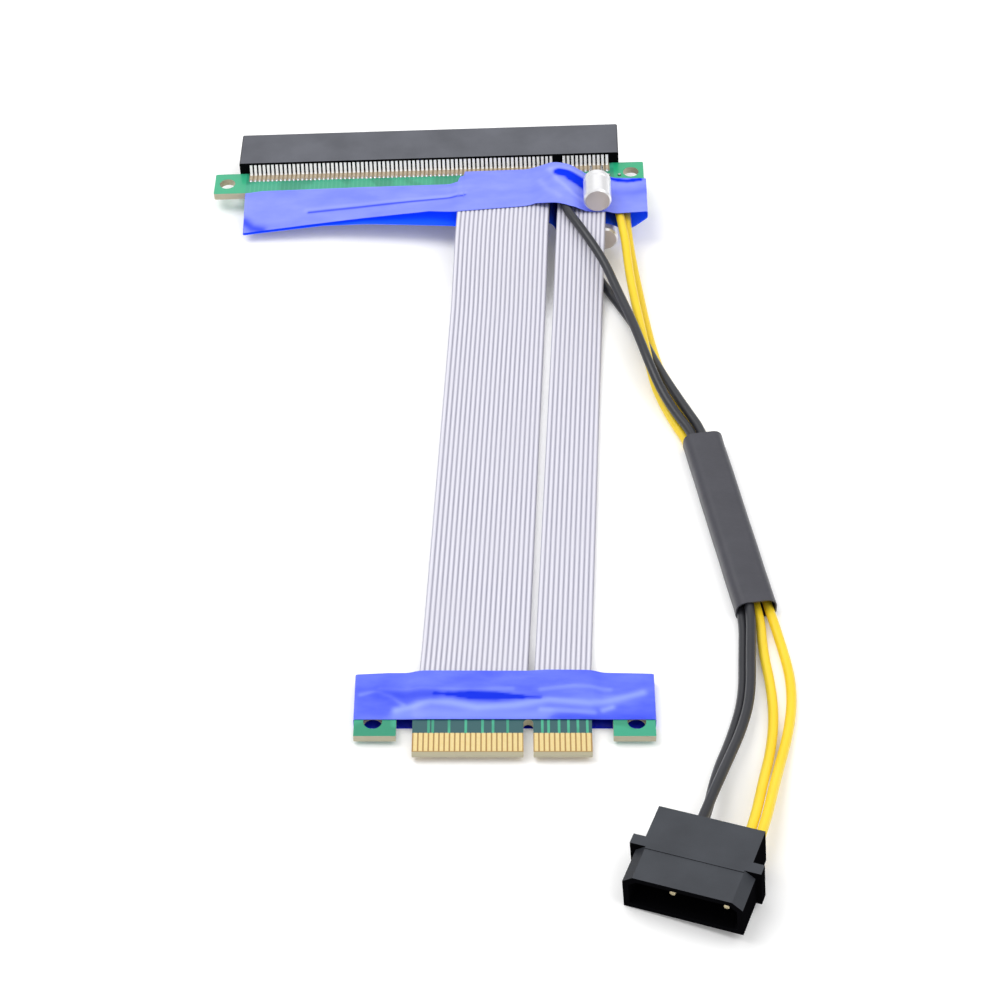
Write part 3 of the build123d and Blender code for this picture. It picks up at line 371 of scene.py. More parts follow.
def loft(name, rings, material, cyclic=False):
    """A closed mesh through rings of equally many points; cyclic joins the last to the first."""
    count = len(rings[0])
    faces = []
    for r in range(len(rings) if cyclic else len(rings) - 1):
        here = r * count
        there = (r + 1) % len(rings) * count
        for i in range(count):
            j = (i + 1) % count
            faces.append((here + i, here + j, there + j, there + i))
    if not cyclic:
        faces.append(tuple(reversed(range(count))))
        faces.append(tuple((len(rings) - 1) * count + i for i in range(count)))
    mesh = bpy.data.meshes.new(name)
    mesh.from_pydata([point for ring in rings for point in ring], [], faces)
    work = bmesh.new()
    work.from_mesh(mesh)
    bmesh.ops.recalc_face_normals(work, faces=work.faces)
    work.to_mesh(mesh)
    work.free()
    mesh.shade_smooth()
    mesh.set_sharp_from_angle(angle=math.radians(40))
    return link_object(name, mesh, material)


def nurbs_curve(name, points, radius):
    """Curve data of an open NURBS cord on its control points, in metres."""
    curve = bpy.data.curves.new(name, "CURVE")
    curve.dimensions = "3D"
    spline = curve.splines.new("NURBS")
    spline.points.add(len(points) - 1)
    for place, point in zip(spline.points, points):
        place.co = (*point, 1.0)
    spline.order_u = 3
    spline.use_endpoint_u = True
    curve.resolution_u = 14
    curve.bevel_depth = radius
    curve.bevel_resolution = 5
    curve.use_fill_caps = True
    return curve


def read_line(points):
    """Points along the NURBS line of a route."""
    curve = nurbs_curve("line_helper", points, 0.0)
    helper = bpy.data.objects.new("line_helper", curve)
    mesh = bpy.data.meshes.new_from_object(helper)
    line = [v.co.copy() for v in mesh.vertices]
    bpy.data.objects.remove(helper)
    bpy.data.curves.remove(curve)
    bpy.data.meshes.remove(mesh)
    return line


def dress(node, material, bevel_mm=0.0):
    """Gives a CAD node a material and, where its edges show, a small edge rounding."""
    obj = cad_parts[node]
    obj.data.materials.clear()
    obj.data.materials.append(material)
    if bevel_mm:
        rounding = obj.modifiers.new("edge_rounding", "BEVEL")
        rounding.width = bevel_mm * MM
        rounding.segments = 3
        rounding.limit_method = "ANGLE"
        rounding.angle_limit = math.radians(35)
        rounding.harden_normals = True
    return obj


def lay(piece, node=None):
    """Puts a piece on the root body and hides the CAD node it stands for."""
    if node:
        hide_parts(node)
    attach(piece, "root")


def on_table(x, y, z):
    """A point of the shared frame from millimetres."""
    return Vector((x, y, z)) * MM


# The upper board lies tilted on its socket: the middle of the socket's near face, and turns
RISER_PLACE = (0.0, 0.08095, 0.005983)
RISER_YAW = -0.34
RISER_PITCH = -1.98
RISER_ROLL = -2.4


def riser_matrix():
    """The frame of the tilted upper board: x across, y towards the socket's mouth."""
    turn = Matrix.Rotation(math.radians(RISER_YAW), 4, "Z")
    tip = Matrix.Rotation(math.radians(RISER_PITCH), 4, "X")
    roll = Matrix.Rotation(math.radians(RISER_ROLL), 4, "Y")
    return Matrix.Translation(RISER_PLACE) @ turn @ tip @ roll


RISER = riser_matrix()
ACROSS_RISER = (RISER.to_3x3() @ Vector((1, 0, 0))).normalized()


def riser_point(x, y, z):
    """A point of the upper board's frame, given in millimetres, in the shared frame."""
    return RISER @ Vector((x * MM, y * MM, z * MM))


# The wires' routes, laid after the photo: control points in millimetres, from the upper board to the plug
BLACK_A = [
    (30.83, 76.26, 10.14), (30.64, 68.71, 10.44), (31.24, 61.42, 10.82), (35.1, 53.7, 10.75),
    (39.8, 45.3, 8.6), (42.5, 36.8, 7.3), (45.1, 28.6, 6.8), (47.1, 20.4, 6.8),
    (48.9, 13.1, 6.3), (51.2, 7.0, 4.4), (54.0, 0.9, 3.5), (57.92, -6.6, 3.43),
    (61.4, -31.01, 3.43), (65.07, -55.39, 1.37), (64.3, -66.4, 1.05), (63.6, -77.0, 1.05),
    (60.9, -86.8, 1.3), (57.1, -97.1, 2.6), (54.57, -108.53, 4.07), (52.05, -115.06, 4.07),
]
BLACK_B = [
    (31.06, 76.07, 4.74), (30.86, 68.52, 4.95), (31.47, 61.23, 5.23), (35.2, 53.6, 2.9),
    (40.2, 45.3, 1.1), (44.6, 35.7, 1.2), (47.4, 27.8, 2.4), (49.6, 19.8, 3.0),
    (52.1, 12.3, 3.35), (55.8, 3.3, 3.43), (60.04, -6.24, 3.43), (63.57, -30.65, 3.43),
    (66.45, -55.16, 3.43), (65.6, -66.4, 3.1), (64.9, -78.0, 2.9), (62.6, -86.8, 3.2),
    (58.7, -97.1, 4.8), (54.4, -108.46, 6.12), (51.88, -115.0, 6.12),
]
YELLOW_A = [
    (43.5, 73.69, 6.15), (43.47, 70.3, 6.37), (43.7, 65.13, 7.51), (44.15, 59.25, 8.23),
    (44.9, 53.6, 7.5), (45.4, 45.3, 6.2), (46.2, 37.6, 5.5), (47.2, 29.6, 4.95),
    (48.2, 21.4, 4.85), (48.9, 15.6, 4.5), (50.2, 10.0, 2.1), (53.1, 2.0, 1.05),
    (56.74, -6.8, 1.37), (63.17, -30.71, 1.37), (68.28, -54.85, 1.37), (68.2, -64.8, 1.05),
    (69.2, -74.4, 1.02), (69.1, -83.0, 1.02), (67.8, -91.2, 1.4), (65.9, -98.8, 3.0),
    (62.97, -111.77, 5.89), (60.45, -118.3, 5.89),
]
YELLOW_B = [
    (45.6, 73.68, 6.24), (45.67, 68.68, 6.31), (45.43, 61.39, 6.51), (45.9, 55.4, 5.0),
    (46.8, 49.0, 2.8), (47.8, 42.3, 1.3), (48.8, 33.5, 1.03), (50.2, 22.8, 1.02),
    (52.3, 13.2, 1.02), (55.0, 5.1, 1.05), (60.39, -6.18, 1.37), (65.98, -30.24, 1.37),
    (70.32, -54.51, 1.37), (71.9, -63.0, 1.05), (73.1, -71.3, 1.02), (72.9, -78.8, 1.02),
    (71.6, -86.0, 1.2), (69.7, -93.2, 2.0), (68.0, -99.6, 3.4), (64.88, -112.51, 6.07),
    (62.36, -119.04, 6.07),
]

# In millimetres: half of a board's and of a ribbon's thickness, the gap between the layers of
# ribbon and the height of the lower board's top
HALF_BOARD = 0.8
HALF_RIBBON = 0.4
LAYER_GAP = 0.05
LOWER_BOARD_TOP = 2.6
# A ribbon's places along y and its runs in millimetres: it lies on the upper board, hangs down
# to the table in so many steps, lies there and rises to the lower board
RIBBON_START = -5.0
DROP_START = -21.0
DROP_RUN = 27.0
DROP_STEPS = 6
RISE_END = -76.35
RISE_RUN = 16.0
RISE_STEPS = 4
RIBBON_END = -79.0


def eased(share):
    """0 to 1 with a level start and end."""
    return (1 - math.cos(math.pi * share)) / 2


def ribbon_route(upper_x, lower_x, side):
    """Control points of a ribbon's middle line, in metres: side is 1 above and -1 below."""
    lift = side * (HALF_BOARD + HALF_RIBBON)
    if side > 0:
        table_z = 3 * HALF_RIBBON + LAYER_GAP
        board_z = LOWER_BOARD_TOP + HALF_RIBBON
    else:
        table_z = HALF_RIBBON
        board_z = LOWER_BOARD_TOP - 2 * HALF_BOARD - HALF_RIBBON
    slant = (upper_x - lower_x) / (riser_point(0, RIBBON_START, 0).y / MM - RIBBON_END)
    route = []
    for y in (RIBBON_START, (RIBBON_START + DROP_START) / 2, DROP_START):
        route.append(riser_point(upper_x + slant * (y - RIBBON_START), y, lift) / MM)
    high = route[-1]
    for step in range(1, DROP_STEPS + 1):
        run = DROP_RUN * step / DROP_STEPS
        z = high.z + (table_z - high.z) * eased(step / DROP_STEPS)
        route.append(Vector((high.x - slant * run, high.y - run, z)))
    low = route[-1]
    for step in range(RISE_STEPS + 1):
        share = step / RISE_STEPS
        y = RISE_END + RISE_RUN * (1 - share)
        z = table_z + (board_z - table_z) * eased(share)
        route.append(Vector((low.x + slant * (y - low.y), y, z)))
    route.append(Vector((low.x + slant * (RIBBON_END - low.y), RIBBON_END, board_z)))
    return [tuple(round(value * MM, 5) for value in point) for point in route]


class RiserSizes(bpy.types.PropertyGroup):
    """Sizes of the dressed pieces, in metres."""

    wire_diameter: bpy.props.FloatProperty(
        name="Wire diameter", description="Outside of one insulated wire", default=0.002, unit="LENGTH"
    )
    ribbon_pitch: bpy.props.FloatProperty(
        name="Ribbon pitch", description="Distance between two conductors", default=0.001, unit="LENGTH"
    )
    ribbon_thickness: bpy.props.FloatProperty(
        name="Ribbon thickness", description="Over the ridges", default=0.0008, unit="LENGTH"
    )
    tape_thickness: bpy.props.FloatProperty(
        name="Tape thickness", description="One layer of blue tape", default=0.0001, unit="LENGTH"
    )


class RiserColours(bpy.types.PropertyGroup):
    """Surface colours, as sRGB hex values."""

    mask: bpy.props.StringProperty(name="Solder mask", description="Board green", default="#2a9170")
    mask_light: bpy.props.StringProperty(
        name="Solder mask, light", description="Green over copper", default="#36a381"
    )
    vinyl: bpy.props.StringProperty(name="Ribbon", description="Ridge of the ribbon", default="#e0dfea")
    tape: bpy.props.StringProperty(name="Tape", description="Blue of the tape", default="#7281f4")
    yellow: bpy.props.StringProperty(name="Yellow wire", description="Supply wires", default="#f4cd18")
    black: bpy.props.StringProperty(name="Black wire", description="Ground wires", default="#292a2e")


# The photo's view: a long lens from in front, 45 degrees down
CAMERA_PLACE = (0.01653, -0.4178, 0.396)
CAMERA_LENS = 96.8
CAMERA_TILT = 45.0
# Name, place, size and power of each area light, aimed at the origin
LIGHTS = (
    ("key", (-0.35, 0.1, 0.8), 0.6, 4.0),
    ("fill", (0.45, -0.2, 0.7), 0.6, 2.0),
    ("back", (0.05, 0.75, 0.45), 0.6, 0.5),
)
SKY_LIGHT = 0.6
FLOOR_HALF = 3.0
FLOOR_GLOW = 0.1


def paper_material():
    """White paper: matt, with a little glow where the camera or a mirror sees it."""
    material, tree, shader, _ = new_material("white_paper_floor", Roughness=0.9)
    shader.inputs["Base Color"].default_value = linear("#fbfbfb")
    shader.inputs["Emission Color"].default_value = linear("#ffffff")
    rays = add_node(tree, "ShaderNodeLightPath").outputs
    seen = add(tree, rays["Is Camera Ray"], add(tree, rays["Is Glossy Ray"], rays["Is Transmission Ray"]))
    tree.links.new(multiply(tree, seen, FLOOR_GLOW), shader.inputs["Emission Strength"])
    return material


class StageOperator(bpy.types.Operator):
    """Sets up the camera, the floor and soft studio light."""

    bl_idname = "riser.stage"
    bl_label = "Studio"

    def execute(self, context):
        scene = context.scene
        camera = bpy.data.objects.new("camera", bpy.data.cameras.new("camera"))
        camera.data.lens = CAMERA_LENS
        camera.location = CAMERA_PLACE
        camera.rotation_euler = (math.radians(CAMERA_TILT), 0, 0)
        scene.collection.objects.link(camera)
        scene.camera = camera
        world = bpy.data.worlds.new("soft_studio")
        world.use_nodes = True
        sky = world.node_tree.nodes["Background"]
        sky.inputs["Color"].default_value = linear("#ffffff")
        sky.inputs["Strength"].default_value = SKY_LIGHT
        scene.world = world
        for name, place, size, power in LIGHTS:
            data = bpy.data.lights.new(name, "AREA")
            data.size = size
            data.energy = power
            light = bpy.data.objects.new(name, data)
            light.location = place
            light.rotation_euler = (Vector(place) * -1).to_track_quat("-Z", "Y").to_euler()
            scene.collection.objects.link(light)
        mesh = bpy.data.meshes.new("floor")
        corners = [(x * FLOOR_HALF, y * FLOOR_HALF, 0) for x, y in ((-1, -1), (1, -1), (1, 1), (-1, 1))]
        mesh.from_pydata(corners, [], [(0, 1, 2, 3)])
        link_object("floor", mesh, paper_material())
        scene.view_settings.view_transform = "Standard"
        return {"FINISHED"}


# Piece, node it stands for, route, length of the whole wire and where it leaves the tape
WIRES = (
    ("black_lead_a", "black_wire_a", BLACK_A, 0.200, (0.0312, 0.0605, 0.0108)),
    ("black_lead_b", "black_wire_b", BLACK_B, 0.200, (0.0315, 0.0605, 0.0052)),
    ("yellow_lead_a", "yellow_wire_a", YELLOW_A, 0.198, (0.0441, 0.0600, 0.0082)),
    ("yellow_lead_b", "yellow_wire_b", YELLOW_B, 0.198, (0.0455, 0.0605, 0.0063)),
)


class WiresOperator(bpy.types.Operator):
    """Lays the four power wires and the shrink sleeve on them."""

    bl_idname = "riser.wires"
    bl_label = "Power wires"

    def execute(self, context):
        colours = context.scene.riser_colours
        radius = context.scene.riser_sizes.wire_diameter / 2
        black = pvc_insulation("black_pvc_insulation", colours.black, "#33343a")
        yellow = pvc_insulation("yellow_pvc_insulation", colours.yellow, "#f9dc3c")
        sleeve = make_sleeve(shrink_tubing("heat_shrink_tubing", "#3a3a41", "#46464e"))
        lay(sleeve, "shrink_sleeve")
        for name, node, route, length, leaves in WIRES:
            is_black = name.startswith("black")
            points = [[value * MM for value in point] for point in route]
            curve = nurbs_curve(name, points, radius)
            wire = link_object(name, curve, black if is_black else yellow)
            lay(wire, node)
        return {"FINISHED"}


# The sleeve lies over two layers of two wires: where it starts, in metres, its turn in
# degrees, its length and section in millimetres, and the steps of its mesh
SLEEVE_START = (0.0594, -0.00635, 0.0024)
SLEEVE_YAW = 9.5
SLEEVE_LENGTH = 49.3
SLEEVE_HALF_WIDTH = 4.2
SLEEVE_HALF_HEIGHT = 2.4
SLEEVE_TOP_RADIUS = 2.1
SLEEVE_LOW_RADIUS = 1.37
SLEEVE_WALL = 0.28
SLEEVE_STATIONS = 60
CORNER_STEPS = 7
# How deep it has shrunk in between its ends, and how much of that shows across and down
SHRINK = 0.10
SHRINK_ACROSS = 0.12
SHRINK_DOWN = 0.2


def sleeve_outline(inset):
    """Section of the sleeve, a rounded box, in millimetres."""
    points = []
    for corner, (sx, sy) in enumerate(((1, 1), (-1, 1), (-1, -1), (1, -1))):
        radius = (SLEEVE_TOP_RADIUS if sy > 0 else SLEEVE_LOW_RADIUS) - inset
        x = sx * (SLEEVE_HALF_WIDTH - inset - radius)
        y = sy * (SLEEVE_HALF_HEIGHT - inset - radius)
        for step in range(CORNER_STEPS + 1):
            angle = math.radians(90 * (corner + step / CORNER_STEPS))
            points.append((x + radius * math.cos(angle), y + radius * math.sin(angle)))
    return points


def make_sleeve(material):
    """The shrink sleeve: pulled in between the wires, a little flared at its cut ends."""
    yaw = math.radians(SLEEVE_YAW)
    across = Vector((math.cos(yaw), math.sin(yaw), 0.0))
    down_run = Vector((math.sin(yaw), -math.cos(yaw), 0.0))
    up = Vector((0.0, 0.0, 1.0))
    rings = []
    for (ox, oz), (ix, iz) in zip(sleeve_outline(0.0), sleeve_outline(SLEEVE_WALL)):
        outside = []
        inside = []
        for step in range(SLEEVE_STATIONS + 1):
            run = SLEEVE_LENGTH * step / SLEEVE_STATIONS
            to_end = min(run, SLEEVE_LENGTH - run)
            place = Vector(SLEEVE_START) + down_run * run * MM
            # The dents are longer along the sleeve than round it
            sample = Vector((ox * 0.25, oz * 0.25, run * 0.14))
            dent = SHRINK * (noise.noise(sample) - 0.6) * min(1.0, to_end / 2.0)
            wide = across * (ox * (1 + dent * SHRINK_ACROSS))
            high = up * (oz * (1 + dent * SHRINK_DOWN))
            outside.append(place + (wide + high) * MM)
            inside.append(place + (across * ix + up * iz) * MM)
        rings.append(outside + inside[::-1])
    return loft("shrink_sleeve_tube", rings, material, cyclic=True)


# Name, conductors and middle on the upper and the lower board, in millimetres
RIBBONS = (("wide", 21, 17.95, 11.25), ("narrow", 11, 35.9, 28.53))
# Points over one ridge as shares of the pitch, the depth left in a groove as a share of the
# ridge's, and how round the ridge is
RIDGE_SHARES = (-0.5, -0.34, -0.17, 0.0, 0.17, 0.34)
GROOVE_SHARE = 0.38
ROUNDNESS = 0.74
# Share of its way at which a ribbon starts to turn level, the share that this takes, and the
# direction across it on the table
TILT_END = 0.1
LEVEL_RUN = 0.18
ACROSS_TABLE = Vector((1, -0.042, 0))


def ribbon_profile(conductors, pitch, thickness):
    """Across offsets, half heights and how far up its ridge each point is."""
    half = thickness / 2
    points = []
    for index in range(conductors):
        middle = (index - (conductors - 1) / 2) * pitch
        for share in RIDGE_SHARES:
            drop = share * pitch * ROUNDNESS
            rise = math.sqrt(max(half**2 - drop**2, (GROOVE_SHARE * half) ** 2))
            points.append((middle + share * pitch, rise, (rise / half - GROOVE_SHARE) / (1 - GROOVE_SHARE)))
    points.append((conductors * pitch / 2, GROOVE_SHARE * half, 0.0))
    return points


def make_ribbon(name, route, conductors, sizes, material):
    """One ribbon cable: a ribbed strip swept along its route's own line."""
    line = read_line(route)
    profile = ribbon_profile(conductors, sizes.ribbon_pitch / MM, sizes.ribbon_thickness / MM)
    first = line[0]
    last = line[-1]
    rings = []
    for index, point in enumerate(line):
        behind = line[max(index - 1, 0)]
        ahead = line[min(index + 1, len(line) - 1)]
        tangent = (ahead - behind).normalized()
        share = (first.y - point.y) / (first.y - last.y)
        level = max(0.0, min(1.0, (share - TILT_END) / LEVEL_RUN))
        level = level * level * (3 - 2 * level)
        across = (ACROSS_RISER * (1 - level) + ACROSS_TABLE * level).normalized()
        normal = across.cross(tangent).normalized()
        if normal.z < 0:
            normal.negate()
        upper = [point + (across * x + normal * z) * MM for x, z, _ in profile]
        lower = [point + (across * x - normal * z) * MM for x, z, _ in reversed(profile)]
        rings.append(upper + lower)
    ribbon = loft(name, rings, material)
    ridge = ribbon.data.attributes.new("ridge", "FLOAT", "POINT")
    heights = [h for _, _, h in profile] + [h for _, _, h in reversed(profile)]
    ridge.data.foreach_set("value", heights * len(rings))
    return ribbon, line


class RibbonsOperator(bpy.types.Operator):
    """Lays the four ribbon cables between the boards."""

    bl_idname = "riser.ribbons"
    bl_label = "Ribbon cables"

    def execute(self, context):
        sizes = context.scene.riser_sizes
        colours = context.scene.riser_colours
        # The second colour is painted shade in the grooves
        vinyl = ribbed_vinyl("ribbed_grey_vinyl", colours.vinyl, "#a3a2b2", "#cfced8")
        layers = [(*ribbon, end, side) for ribbon in RIBBONS for end, side in (("top", 1), ("bottom", -1))]
        for kind, conductors, upper_x, lower_x, end, side in layers:
            route = ribbon_route(upper_x, lower_x, side)
            ribbon, line = make_ribbon(f"{kind}_ribbon_{end}", route, conductors, sizes, vinyl)
            lay(ribbon, f"ribbon_{kind}_{end}")
        return {"FINISHED"}


def dome_mesh(name, radius_x, radius_y, height, material):
    """A low solder dome, flat underneath, in metres, not linked to the scene."""
    work = bmesh.new()
    bmesh.ops.create_uvsphere(work, u_segments=12, v_segments=6, radius=1.0)
    for vertex in work.verts:
        vertex.co.x *= radius_x
        vertex.co.y *= radius_y
        vertex.co.z = max(vertex.co.z, -0.05) * height
    mesh = bpy.data.meshes.new(name)
    work.to_mesh(mesh)
    work.free()
    mesh.shade_smooth()
    mesh.materials.append(material)
    return bpy.data.objects.new(name, mesh)


# Of the random sizes that repeated pieces have
SEED = 7


def repeat_group(piece, material):
    """A node group that puts one copy of a piece on every point it is given."""
    group = bpy.data.node_groups.new("repeat_on_points", "GeometryNodeTree")
    group.interface.new_socket("Geometry", in_out="INPUT", socket_type="NodeSocketGeometry")
    group.interface.new_socket("Scale", in_out="INPUT", socket_type="NodeSocketFloat")
    group.interface.new_socket("Spread", in_out="INPUT", socket_type="NodeSocketFloat")
    group.interface.new_socket("Geometry", in_out="OUTPUT", socket_type="NodeSocketGeometry")
    entry = group.nodes.new("NodeGroupInput").outputs
    leave = group.nodes.new("NodeGroupOutput")
    info = add_node(group, "GeometryNodeObjectInfo", {"Object": piece})
    ends = {0: entry["Scale"], 1: entry["Spread"]}
    low = add_node(group, "ShaderNodeMath", ends, operation="SUBTRACT").outputs[0]
    high = add_node(group, "ShaderNodeMath", ends, operation="ADD").outputs[0]
    # Inputs 2 and 3 and output 1 are the float ones: the node has some for each kind of value
    vary = add_node(group, "FunctionNodeRandomValue", {2: low, 3: high, "Seed": SEED}, data_type="FLOAT")
    parts = {"Points": entry["Geometry"], "Instance": info.outputs["Geometry"], "Scale": vary.outputs[1]}
    copies = add_node(group, "GeometryNodeInstanceOnPoints", parts)
    real = add_node(group, "GeometryNodeRealizeInstances", {"Geometry": copies.outputs["Instances"]})
    painted = add_node(
        group, "GeometryNodeSetMaterial", {"Geometry": real.outputs["Geometry"], "Material": material}
    )
    group.links.new(painted.outputs["Geometry"], leave.inputs["Geometry"])
    return group


def repeat(name, piece, points, material, spread=0.0, turn=None):
    """One plain mesh of copies of a piece, built by Geometry Nodes on points in metres, which
    a turn then puts into another frame."""
    mesh = bpy.data.meshes.new(name + "_points")
    mesh.from_pydata(points, [], [])
    carrier = bpy.data.objects.new(name + "_points", mesh)
    bpy.context.scene.collection.objects.link(carrier)
    group = repeat_group(piece, material)
    modifier = carrier.modifiers.new("repeat", "NODES")
    modifier.node_group = group
    sockets = {item.name: item.identifier for item in group.interface.items_tree if item.in_out == "INPUT"}
    modifier[sockets["Scale"]] = 1.0
    modifier[sockets["Spread"]] = spread
    bpy.context.view_layer.update()
    depsgraph = bpy.context.evaluated_depsgraph_get()
    plain = bpy.data.meshes.new_from_object(carrier.evaluated_get(depsgraph), depsgraph=depsgraph)
    bpy.data.objects.remove(carrier)
    if turn is not None:
        plain.transform(turn)
        if turn.determinant() < 0:
            plain.flip_normals()
    plain.name = name
    plain.materials.clear()
    return link_object(name, plain, material)


# First place and count of the contacts on each side of the key, at a pitch of 1 mm
CONTACT_ROWS = ((-41.5, 71), (31.5, 11))
# Boxes of the boards' colours: left, right, near and far, in millimetres
TRACE_ZONE = (-0.5, 34.5, -87.15, -80.0)
PAD_ZONE = (-0.5, 34.5, -93.0, -87.15)
LEFT_EAR = (-60.0, -42.6, *FAR_HALF)
RIGHT_EAR = (42.9, 60.0, *FAR_HALF)
LAMINATE = "#b9b296"
# A solder dome, in millimetres: where it lies along the upper board, half its width and length,
# and its height. Its size varies by a share.
DOME_Y = -2.95
DOME_SIZE = (0.36, 0.55, 0.28)
DOME_SPREAD = 0.08
# Traces, in millimetres: both ends along the board and the width. On the upper board, each
# contact left of the ribbons has one, and on the tongue each lies at its own x.
TRACE_THICKNESS = 0.04
BOARD_TRACE = (-7.5, -3.2, 0.3)
LAST_TRACED = 8.0
TONGUE_TRACE = (-87.2, -83.0, 0.5)
TONGUE_TRACES = (2.9, 3.7, 6.8, 10.0, 13.2, 15.2, 18.0, 24.6, 25.8, 27.8, 29.6, 31.4, 33.2)


def contact_places():
    """Places of the contacts along the socket, in millimetres."""
    return [first + i for first, count in CONTACT_ROWS for i in range(count)]


def mirrored_riser(side):
    """The upper board's frame, or for side -1 its mirror image through the board."""
    return RISER @ Matrix.Scale(side, 4, Vector((0, 0, 1)))


def trace_piece(name, run, material):
    """One copper trace under the mask, from its two ends and its width."""
    near, far, width = run
    return strip_piece(name, [(near, 0.0), (far, 0.0)], width, TRACE_THICKNESS, material)


class BoardsOperator(bpy.types.Operator):
    """Finishes the two boards, their pads and the solder on the socket's contacts."""

    bl_idname = "riser.boards"
    bl_label = "Boards"

    def execute(self, context):
        colours = context.scene.riser_colours
        ears = ((LEFT_EAR, "#34ac80"), (RIGHT_EAR, "#23a877"))
        # The lands colour is the lands' tin, with a painted reflection in the gaps between them
        green = solder_mask(
            "green_solder_mask", colours.mask, colours.mask_light, LAMINATE, ears, lands="#96856c"
        )
        zones = ((TRACE_ZONE, "#2c5a5e"), (PAD_ZONE, "#a8834a"))
        tongue = solder_mask("tongue_solder_mask", colours.mask, colours.mask_light, LAMINATE, zones)
        # White is a painted highlight on the bent run, beige a painted shade and reflection on the feet
        tin = contact_metal("tinned_bronze", "#fdfdfd", "#c2b49c")
        gold = plated_metal("gold_plate", "#f3dfa6", "#e6cc88", 0.35, metallic=0.5)
        solder = plated_metal("bright_solder", "#f0f0f2", "#c9cbd0", 0.35)
        copper = solder_mask("masked_copper_trace", "#37997a", "#43ab88", "#37997a")
        dress("upper_board", green, 0.12)
        dress("lower_board", tongue, 0.12)
        for end in ("top", "bottom"):
            dress("edge_pads_" + end, gold)
            dress("socket_contacts_" + end, tin)
        dress("wire_solder_joints", solder, 0.2)
        dome = dome_mesh("solder_dome", *(size * MM for size in DOME_SIZE), solder)
        run = trace_piece("board_trace", BOARD_TRACE, copper)
        for end, side in (("top", 1), ("bottom", -1)):
            turn = mirrored_riser(side)
            points = [(x * MM, DOME_Y * MM, HALF_BOARD * MM) for x in contact_places()]
            lay(repeat("contact_solder_" + end, dome, points, solder, DOME_SPREAD, turn))
            points = [(x * MM, 0.0, HALF_BOARD * MM) for x in contact_places() if x < LAST_TRACED]
            lay(repeat("board_traces_" + end, run, points, copper, turn=turn))
        run = trace_piece("tongue_trace", TONGUE_TRACE, copper)
        for end, z in (("top", LOWER_BOARD_TOP), ("bottom", LOWER_BOARD_TOP - 2 * HALF_BOARD)):
            points = [(x * MM, 0.0, z * MM) for x in TONGUE_TRACES]
            lay(repeat("tongue_traces_" + end, run, points, copper))
        return {"FINISHED"}


# A contact beam inside the slot, in millimetres: its side profile of y and z, and its section
BEAM_PROFILE = ((10.4, 0.86), (9.3, 0.35), (8.6, 0.32), (6.5, 0.62), (3.7, 0.84))
BEAM_WIDTH = 0.5
BEAM_THICKNESS = 0.14


class SocketOperator(bpy.types.Operator):
    """Finishes the card socket and fills its slot with contact beams."""

    bl_idname = "riser.socket"
    bl_label = "Card socket"

    def execute(self, context):
        # The second colour is a painted sheen on the upward faces
        plastic = moulded_plastic("black_moulded_nylon", "#0d0e10", "#62646c", 0.45)
        dress("socket_housing", plastic, 0.12)
        tin = bpy.data.materials["tinned_bronze"]
        beam = strip_piece("slot_contact", BEAM_PROFILE, BEAM_WIDTH, BEAM_THICKNESS, tin)
        points = [(x * MM, 0.0, 0.0) for x in contact_places()]
        for name, side in (("slot_contacts_upper", 1), ("slot_contacts_lower", -1)):
            lay(repeat(name, beam, points, tin, turn=mirrored_riser(side)))
        return {"FINISHED"}


def strip_piece(name, profile, width, thickness, material):
    """A bent strip from its side profile of y and z, in millimetres, not linked to the scene."""
    rings = []
    for y, z in profile:
        low = z - thickness / 2
        high = z + thickness / 2
        ring = [(-width / 2, y, low), (width / 2, y, low), (width / 2, y, high), (-width / 2, y, high)]
        rings.append([Vector(p) * MM for p in ring])
    piece = loft(name, rings, material)
    bpy.context.scene.collection.objects.unlink(piece)
    return piece


# The tape's mesh, in millimetres: how far apart its points are round it, how many steps it
# has across, and how often its corners are averaged, more so where no board end holds it
POINT_SPACING = 0.35
TAPE_STEPS = 30
CORNER_ROUNDS = 1
LOOSE_ROUNDS = 14
EVERYWHERE = (-1e3, 1e3)
# Heights of the film's small rucks, of its strokes and of the end that overlaps its start
RUCK_HEIGHT = 0.05
STROKE_HEIGHT = 0.06
OVERLAP_HEIGHT = 0.12


def blend_outlines(stations, y):
    """The outline at y between stations of (y, points), which run from far to near."""
    if y >= stations[0][0]:
        return stations[0][1]
    for (far, here), (near, there) in zip(stations, stations[1:]):
        if y >= near:
            share = (far - y) / (far - near)
            return [a.lerp(b, share) for a, b in zip(here, there)]
    return stations[-1][1]


def even_outlines(stations, spacing, loose):
    """The stations' outlines with equally many points, softened at the corners, and more so
    between the two loose x limits."""
    counts = [0] * len(stations[0][1])
    for _, outline in stations:
        for i, (here, there) in enumerate(zip(outline, outline[1:] + outline[:1])):
            run = (Vector(here) - Vector(there)).length
            counts[i] = max(counts[i], math.ceil(run / spacing))
    result = []
    for y, outline in stations:
        points = []
        for count, here, there in zip(counts, outline, outline[1:] + outline[:1]):
            points += [Vector(here).lerp(Vector(there), k / count) for k in range(count)]
        result.append((y, soften(soften(points, CORNER_ROUNDS, *EVERYWHERE), LOOSE_ROUNDS, *loose)))
    return result


def soften(points, rounds, low, high):
    """Rounds the corners of a closed outline between two x limits by averaging neighbours."""
    for _ in range(rounds):
        after = points[1:] + points[:1]
        points = [
            (points[i - 1] + here * 2 + there) / 4 if low < here[0] < high else here
            for i, (here, there) in enumerate(zip(points, after))
        ]
    return points


def stroke_distance(x, y, line):
    """Distance from a point to a line of (x, y) points."""
    best = math.inf
    here = Vector((x, y))
    for a, b in zip(line, line[1:]):
        a = Vector(a)
        run = Vector(b) - a
        share = max(0.0, min(1.0, (here - a).dot(run) / run.length_squared))
        best = min(best, (here - a - run * share).length)
    return best


